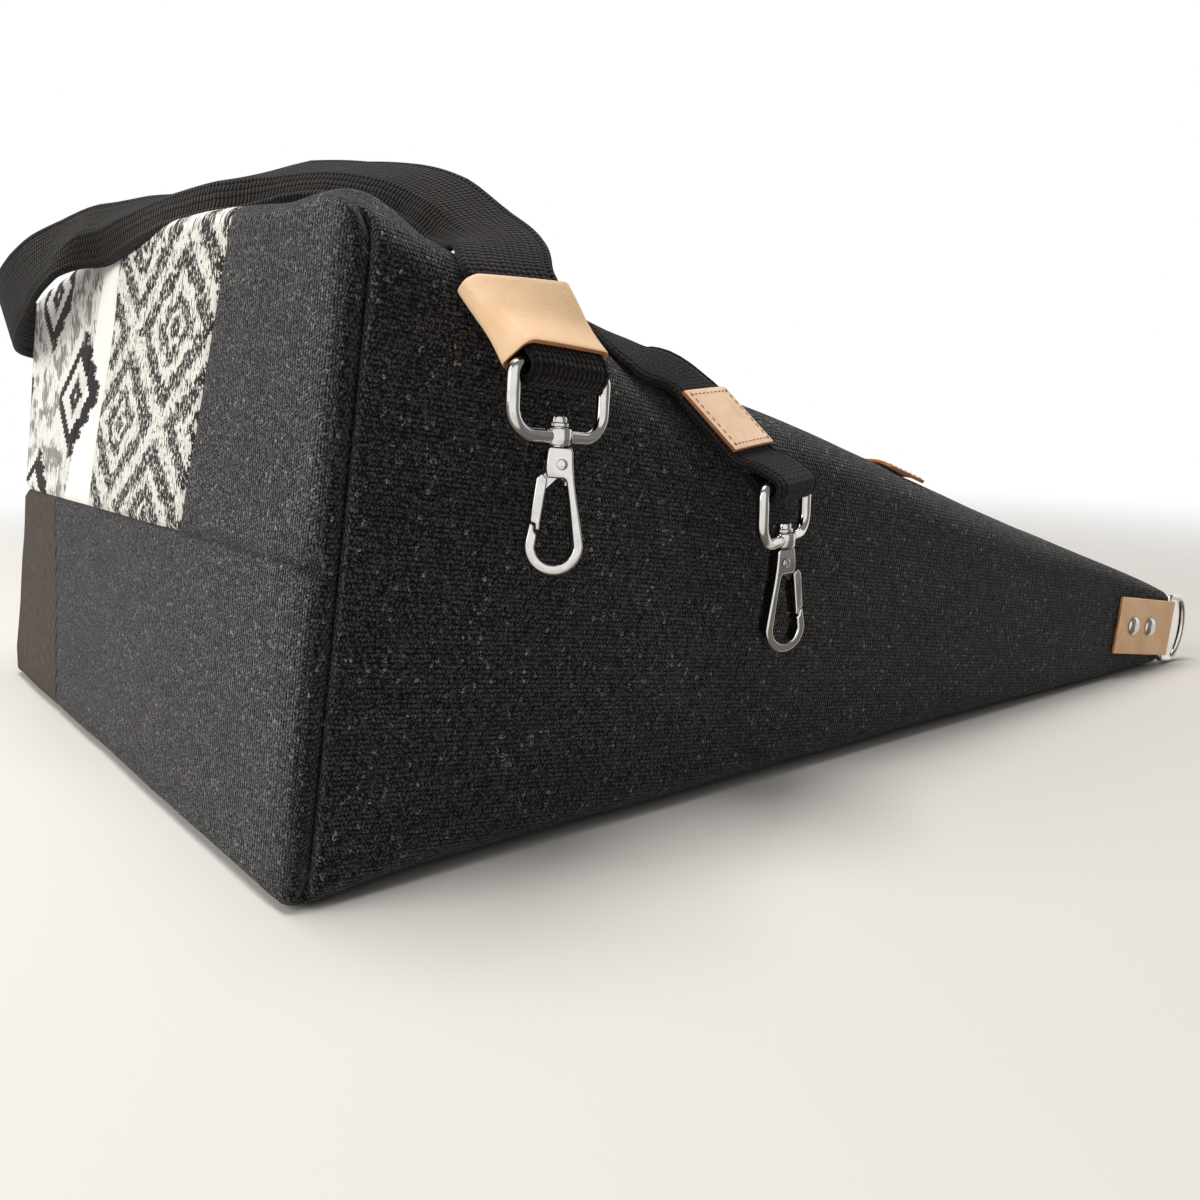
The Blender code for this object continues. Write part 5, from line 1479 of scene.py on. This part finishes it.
def tube(points, radius, closed=True, sides=18, normal=None):
    """Round wire along points; for a loop in one plane its normal keeps the sections from twisting."""
    data = bpy.data.meshes.new("tube")
    count = len(points)
    across = None
    turns = [2 * pi * j / sides for j in range(sides)]
    with modelling(data) as work:
        rings = []
        for k, point in enumerate(points):
            before = points[k - 1] if closed or k else point
            after = points[(k + 1) % count] if closed or k < count - 1 else point
            tangent = (after - before).normalized()
            across = normal or across or tangent.orthogonal()
            across = (across - tangent * across.dot(tangent)).normalized()
            other = tangent.cross(across)
            rings.append([work.verts.new(point + (across * cos(t) + other * sin(t)) * radius) for t in turns])
        for k in range(count if closed else count - 1):
            a, b = rings[k], rings[(k + 1) % count]
            for j in range(sides):
                work.faces.new((a[j], a[(j + 1) % sides], b[(j + 1) % sides], b[j]))
        if not closed:
            work.faces.new(rings[0])
            work.faces.new(rings[-1])
    return data


def arc_points(centre_a, centre_b, radius, start, stop, steps):
    angles = [mix(start, stop, k / steps) for k in range(steps + 1)]
    return [(centre_a + radius * cos(angle), centre_b + radius * sin(angle)) for angle in angles]


def moved(data, matrix, finish):
    data.transform(matrix)
    if not data.materials:
        data.materials.append(finish)
    return data


def ring_wire(name, side, body, replaced):
    edge, towards, outward = side_frame(side)
    half = (RING_INNER_WIDTH + RING_WIRE) / 2
    shape = arc_points(RING_CORNER, -half + RING_CORNER, RING_CORNER, -pi, -pi / 2, 8)
    for k in range(33):
        angle = -pi / 2 + pi * k / 32
        shape.append((RING_REACH * (0.45 + 0.55 * cos(angle)), half * sin(angle)))
    shape += arc_points(RING_CORNER, half - RING_CORNER, RING_CORNER, pi / 2, pi, 8)
    shape += [(0.0, half * t) for t in (0.5, 0.0, -0.5)]
    data = tube([Vector((a, 0.0, b)) for a, b in shape], RING_WIRE / 2, normal=Vector((0, 1, 0)))
    turn = Matrix((towards, FRONT.cross(towards), FRONT)).transposed().to_4x4()
    place = Matrix.Translation(edge + towards * RING_CENTRE - outward * WALL / 2) @ turn
    finished(moved(data, place, NICKEL), name, body, [replaced], 60)


def rivet(name, side, reach, replaced):
    edge, towards, outward = side_frame(side)
    face = TAB_INNER_RADIUS + LEATHER + TOUCH_GAP
    cap = RIVET_CAP / 2
    shaft = RIVET_SHAFT / 2
    top = face + RIVET_DOME
    profile = [(0.0, top - 0.0001), (cap * 0.30, top), (cap * 0.55, top - 0.00015),
               (cap * 0.75, top - 0.0005), (cap * 0.90, top - 0.0010), (cap * 0.98, face + 0.0004),
               (cap, face + 0.0002), (cap * 0.97, face), (shaft, face), (shaft, -face), (cap * 0.84, -face),
               (cap * 0.86, -face - 0.0004), (cap * 0.7, -face - 0.0008), (0.0, -face - 0.0009)]
    at = edge - towards * reach - outward * WALL / 2
    place = Matrix.Translation(at) @ outward.to_track_quat("Z", "Y").to_matrix().to_4x4()
    finished(moved(lathe(profile), place, NICKEL), name, "bag", [replaced], 50)


# Swivel clips; a clip's own frame has X along the eye's bar, Y into the bag and Z up its post

HOOK_TOP = EYE_DROP + BOSS_HEIGHT / 2 + SWIVEL_CLEARANCE
PIN_AT = (PIN_SIDE, -HOOK_TOP - PIN_DROP)
BULB_RADIUS = HOOK_OUTER_WIDTH / 2
BULB_CENTRE = -HOOK_TOP - HOOK_LENGTH + BULB_RADIUS
INNER_RADIUS = BULB_RADIUS - HOOK_BEND + 0.0003
SPLIT_LEVEL = -HOOK_TOP - GATE_SPLIT


def outer_side(level, side):
    t = (level + HOOK_TOP) / (BULB_CENTRE + HOOK_TOP)
    return side * mix(HOOK_NECK_WIDTH / 2, BULB_RADIUS, ease(0.0, 1.35, t) / ease(0.0, 1.35, 1.0))


def opening_side(level, side):
    t = (level + HOOK_TOP + HOUSING_HEIGHT) / (BULB_CENTRE + HOOK_TOP + HOUSING_HEIGHT)
    return side * mix(OPENING_TOP_WIDTH / 2, INNER_RADIUS, t)


NOSE_STEP = (outer_side(SPLIT_LEVEL, -1) + opening_side(SPLIT_LEVEL, -1)) / 2
HOUSING_END = -HOOK_TOP - HOUSING_HEIGHT


def hook_outline():
    top = -HOOK_TOP
    neck = HOOK_NECK_WIDTH / 2
    levels = [mix(top, BULB_CENTRE, k / 18) for k in range(1, 18)]
    shape = [(-neck * 0.72, top), (neck * 0.9, top)]
    shape += [(outer_side(z, 1), z) for z in levels]
    shape += arc_points(0.0, BULB_CENTRE, BULB_RADIUS, 0.0, -pi, 36)
    shape += [(outer_side(SPLIT_LEVEL, -1), SPLIT_LEVEL), (NOSE_STEP, SPLIT_LEVEL - 0.0006),
              (NOSE_STEP, SPLIT_LEVEL - GATE_LAP),
              (opening_side(SPLIT_LEVEL - GATE_LAP, -1), SPLIT_LEVEL - GATE_LAP - 0.0010)]
    shape += arc_points(0.0, BULB_CENTRE, INNER_RADIUS, -pi, 0.0, 28)[1:]
    shape += [(opening_side(z, 1), z) for z in reversed(levels[9:])]
    half = OPENING_TOP_WIDTH / 2
    shape += [(half, HOUSING_END - 0.0012), (half - 0.0004, HOUSING_END - 0.0004),
              (half - 0.0012, HOUSING_END)]
    return shape + [(-half - 0.0004, HOUSING_END), (-neck * 0.86, HOUSING_END + 0.0030)]


def gate_outline():
    gap = GATE_CLEARANCE
    top = HOUSING_END - gap
    inner = OPENING_TOP_WIDTH / 2
    return [(-inner - 0.0001, top), (-inner - 0.0004 - GATE_WIDTH * 0.5, top + 0.0016),
            (outer_side(top, -1) - 0.0012, top), (outer_side(SPLIT_LEVEL, -1), SPLIT_LEVEL + gap),
            (NOSE_STEP + gap, SPLIT_LEVEL - 0.0006 + gap), (NOSE_STEP + gap, SPLIT_LEVEL - GATE_LAP + gap),
            (opening_side(SPLIT_LEVEL, -1) + 0.0003, SPLIT_LEVEL - GATE_LAP + gap),
            (opening_side(SPLIT_LEVEL, -1) + 0.0003, SPLIT_LEVEL)]


def plate(outline, thickness, middle=0.0):
    """A flat solid from a closed outline in the clip's XZ plane."""
    data = bpy.data.meshes.new("plate")
    with modelling(data) as work:
        near = [work.verts.new((x, middle - thickness / 2, z)) for x, z in outline]
        far = [work.verts.new((x, middle + thickness / 2, z)) for x, z in outline]
        work.faces.new(near)
        work.faces.new(far[::-1])
        for k in range(len(outline)):
            j = (k + 1) % len(outline)
            work.faces.new((near[k], near[j], far[j], far[k]))
    return data


def block(low, high):
    outline = [(low[0], low[2]), (high[0], low[2]), (high[0], high[2]), (low[0], high[2])]
    return plate(outline, high[1] - low[1], (high[1] + low[1]) / 2)


def combined(data, others):
    """Exact joins and cuts: others are pairs of UNION or DIFFERENCE and a mesh."""
    helpers = []
    steps = []
    for number, (operation, other) in enumerate(others):
        helpers.append(placed(f"helper_{number}", other))
        steps.append(("BOOLEAN", dict(operation=operation, solver="EXACT", object=helpers[-1])))
    made = baked(data, steps)
    for helper in helpers:
        bpy.data.objects.remove(helper, do_unlink=True)
    return made


def swivel_clip(prefix, at, turn, dip, swivel):
    """A snap clip: its eye, hook, gate, pin and spring."""
    hang = Matrix.Translation(at) @ Matrix(bar_frame(turn, dip)).transposed().to_4x4()
    post = hang @ Matrix.Rotation(swivel, 4, "Z")

    def piece(data, place, what, body, smooth, finish=NICKEL, slot="polished_nickel"):
        replaced = f"{prefix}_{what.split('_')[0]}"
        finished(moved(data, place, finish), f"{prefix}_{what}", f"{prefix}_{body}", [replaced], smooth)

    half = (EYE_INNER_WIDTH + EYE_WIRE) / 2
    shape = arc_points(half - EYE_TOP_CORNER, -EYE_TOP_CORNER, EYE_TOP_CORNER, pi / 2, 0.0, 10)
    shape += arc_points(half - EYE_CORNER, -EYE_DROP + EYE_CORNER, EYE_CORNER, 0.0, -pi / 2, 18)
    shape += [(-x, z) for x, z in reversed(shape)]
    eye = tube([Vector((x, 0.0, z)) for x, z in shape], EYE_WIRE / 2, sides=24, normal=Vector((0, 1, 0)))
    high = -EYE_DROP + BOSS_HEIGHT / 2
    low = -EYE_DROP - BOSS_HEIGHT / 2
    wide = BOSS_DIAMETER / 2
    boss = lathe([(0.0, high), (wide - 0.0006, high), (wide - 0.0002, high - 0.0002), (wide, high - 0.0006),
                  (wide, low + 0.0006), (wide - 0.0002, low + 0.0002), (wide - 0.0006, low), (0.0, low)])
    loose = POST_DIAMETER / 2 + SWIVEL_CLEARANCE
    bore = lathe([(0.0, high + 0.002), (loose, high + 0.002), (loose, low - 0.002), (0.0, low - 0.002)])
    piece(combined(eye, [("UNION", boss), ("DIFFERENCE", bore)]), hang, "eye_wire", "eye", 32)

    hook = baked(plate(hook_outline(), HOOK_THICKNESS), [rounded(0.0009, 4, 40)])
    shank = POST_DIAMETER / 2
    head = high + SWIVEL_CLEARANCE
    shoulder = head + POST_HEAD
    peen = shoulder + POST_TIP
    rim = POST_HEAD_DIAMETER / 2
    tip = POST_TIP_DIAMETER / 2
    stem = lathe([(0.0, peen), (tip - 0.0006, peen), (tip - 0.0002, peen - 0.0002), (tip, peen - 0.0006),
                  (tip, shoulder), (rim - 0.0003, shoulder), (rim, shoulder - 0.0003), (rim, head + 0.0002),
                  (rim - 0.0003, head), (shank, head), (shank, -HOOK_TOP - 0.0010),
                  (0.0, -HOOK_TOP - 0.0010)])
    slot_end = PIN_SIDE + EAR_RADIUS + 0.0004
    slot = block((-0.010, -SLOT_WIDTH / 2, HOUSING_END - 0.002),
                 (slot_end, SLOT_WIDTH / 2, -HOOK_TOP - 0.0017))
    across_pin = Matrix.Translation((PIN_AT[0], 0.0, PIN_AT[1])) @ Matrix.Rotation(-pi / 2, 4, "X")
    hole_radius = PIN_DIAMETER / 2 + SWIVEL_CLEARANCE
    hole = lathe([(0.0, 0.006), (hole_radius, 0.006), (hole_radius, -0.006), (0.0, -0.006)])
    hole.transform(across_pin)
    hook = combined(hook, [("UNION", stem), ("DIFFERENCE", slot), ("DIFFERENCE", hole.copy())])
    piece(hook, post, "hook_body", "hook", 32)

    gate = baked(plate(gate_outline(), HOOK_THICKNESS), [rounded(0.0006, 4, 40)])
    ear_low = -SLOT_WIDTH / 2 + 0.0002
    ear = arc_points(PIN_AT[0], PIN_AT[1], EAR_RADIUS, -0.25 * pi, 0.72 * pi, 24)
    ear += [(-OPENING_TOP_WIDTH / 2 - GATE_WIDTH * 0.95, HOUSING_END - 0.0016),
            (-OPENING_TOP_WIDTH / 2 - 0.0003, HOUSING_END - 0.0030)]
    ear = plate(ear, EAR_THICKNESS, ear_low + EAR_THICKNESS / 2)
    piece(combined(gate, [("UNION", ear), ("DIFFERENCE", hole.copy())]), post, "gate_bar", "gate", 32)

    reach = HOOK_THICKNESS / 2 + 0.0002
    top = reach + PIN_HEAD
    cap = PIN_HEAD_DIAMETER / 2
    pin = lathe([(0.0, top - 0.00012), (cap * 0.35, top - 0.00010), (cap * 0.45, top), (cap - 0.0003, top),
                 (cap, reach + PIN_HEAD * 0.4), (cap, reach), (PIN_DIAMETER / 2, reach),
                 (PIN_DIAMETER / 2, -reach),
                 (cap, -reach), (cap, -reach - PIN_HEAD * 0.4), (cap - 0.0003, -top), (0.0, -top)])
    piece(pin, post @ across_pin, "pin_body", "hook", 40)

    radius = PIN_DIAMETER / 2 + 0.0003 + SPRING_WIRE / 2
    first = ear_low + EAR_THICKNESS + 0.0002 + SPRING_WIRE / 2
    steps = 24 * SPRING_TURNS
    begins = radians(146)
    sweep = 2 * pi * SPRING_TURNS + radians(26)
    coil = []
    for k in range(steps + 1):
        angle = begins + sweep * k / steps
        height = first + SPRING_PITCH * SPRING_TURNS * k / steps
        coil.append(Vector((PIN_AT[0] + radius * cos(angle), height, PIN_AT[1] + radius * sin(angle))))
    coil.insert(0, coil[0] + (coil[0] - coil[1]).normalized() * SPRING_LEG)
    coil.append(coil[-1] + (coil[-1] - coil[-2]).normalized() * SPRING_LEG)
    spring = tube(coil, SPRING_WIRE / 2, closed=False, sides=8)
    piece(spring, post, "spring_wire", "hook", 60, STEEL, "spring_steel")


ROUTE = strap_route()
bag_cloth([place for place, _, _ in ROUTE])
lining_cloth()
webbing_strap(ROUTE)
sleeve_leather()
patch_leather()
label_leather()
for word, side in (("near", -1), ("far", 1)):
    tab_leather(f"{word}_tab_leather", side, f"ring_tab_{word}")
    ring_wire(f"{word}_ring_wire", side, f"{word}_ring", f"ring_{word}")
    for number, reach in enumerate(RIVET_PLACES, start=1):
        rivet(f"{word}_rivet_{number}", side, reach, f"tab_rivet_{word}_{number}")
swivel_clip("base_clip", BASE_CLIP_AT, BASE_CLIP_TURN, BASE_CLIP_DIP, BASE_HOOK_SWIVEL)
swivel_clip("mouth_clip", MOUTH_CLIP_AT, MOUTH_CLIP_TURN, MOUTH_CLIP_DIP, MOUTH_HOOK_SWIVEL)


# Floor, light and camera

def shown_white(tree):
    """1 for rays that show the background itself: to the camera, in gloss and through glass."""
    path = tree.nodes.new("ShaderNodeLightPath")
    seen = larger(tree, path.outputs["Is Camera Ray"], path.outputs["Is Glossy Ray"])
    return larger(tree, seen, path.outputs["Is Transmission Ray"])


FLOOR_HALF = 9.0
FLOOR_LEVEL = -0.0003
LAMPS = (("window", (-1.45, 0.30, 0.85), 1.2, 22.0), ("overhead", (-0.15, 0.14, 1.9), 0.9, 40.0))


def lay_floor():
    """A pale floor that fades into white far from the bag."""
    data = bpy.data.meshes.new("floor")
    corners = [(x * FLOOR_HALF, y * FLOOR_HALF, FLOOR_LEVEL) for x, y in ((-1, -1), (1, -1), (1, 1), (-1, 1))]
    data.from_pydata(corners, [], [(0, 1, 2, 3)])
    floor = placed("floor", data)
    made = bpy.data.materials.new("pale floor")
    made.use_nodes = True
    tree = made.node_tree
    shader = tree.nodes["Principled BSDF"]
    shader.inputs["Roughness"].default_value = 0.75
    shader.inputs["Specular IOR Level"].default_value = 0.1
    place = node(tree, "ShaderNodeTexCoord").outputs["Object"]
    colour = blended(tree, cloudy(tree, place, 3.0, 2.0), (0.555, 0.540, 0.517), (0.580, 0.564, 0.540))
    tree.links.new(colour, shader.inputs["Base Color"])
    away = node(tree, "ShaderNodeVectorMath", {0: place}, operation="LENGTH").outputs["Value"]
    far = ramp(tree, away, 0.42, 1.25)
    glow = node(tree, "ShaderNodeEmission", {"Color": (1, 1, 1, 1), "Strength": 1.0})
    share = times(tree, far, shown_white(tree))
    both = node(tree, "ShaderNodeMixShader", {0: share, 1: shader.outputs[0], 2: glow.outputs[0]})
    tree.links.new(both.outputs[0], tree.nodes["Material Output"].inputs["Surface"])
    data.materials.append(made)


def light_scene():
    world = bpy.data.worlds.new("studio")
    world.use_nodes = True
    tree = world.node_tree
    tree.nodes.clear()
    lit = node(tree, "ShaderNodeBackground", {"Color": (1.0, 0.985, 0.965, 1), "Strength": 0.22})
    seen = node(tree, "ShaderNodeBackground", {"Color": (1, 1, 1, 1), "Strength": 1.0})
    both = node(tree, "ShaderNodeMixShader", {0: shown_white(tree), 1: lit.outputs[0], 2: seen.outputs[0]})
    node(tree, "ShaderNodeOutputWorld", {"Surface": both.outputs[0]})
    bpy.context.scene.world = world
    for name, at, size, power in LAMPS:
        lamp = bpy.data.lights.new(name, "AREA")
        lamp.shape = "SQUARE"
        lamp.size = size
        lamp.energy = power
        lamp.color = (1.0, 0.98, 0.95)
        holder = placed(name, lamp)
        holder.location = at
        aim = Vector((-0.05, 0.0, 0.08)) - Vector(at)
        holder.rotation_euler = aim.to_track_quat("-Z", "Y").to_euler()


def set_camera():
    data = bpy.data.cameras.new("camera")
    data.sensor_width = 36.0
    data.sensor_fit = "HORIZONTAL"
    data.lens = 932.95 / 1200 * 36.0
    data.clip_start = 0.01
    camera = placed("camera", data)
    camera.location = (-0.32688167, -0.40600734, 0.14348448)
    camera.rotation_euler = (pi / 2 - 0.2102925, 0.0, -0.7447402)
    bpy.context.scene.camera = camera


lay_floor()
light_scene()
set_camera()
bpy.context.scene.view_settings.view_transform = "Standard"
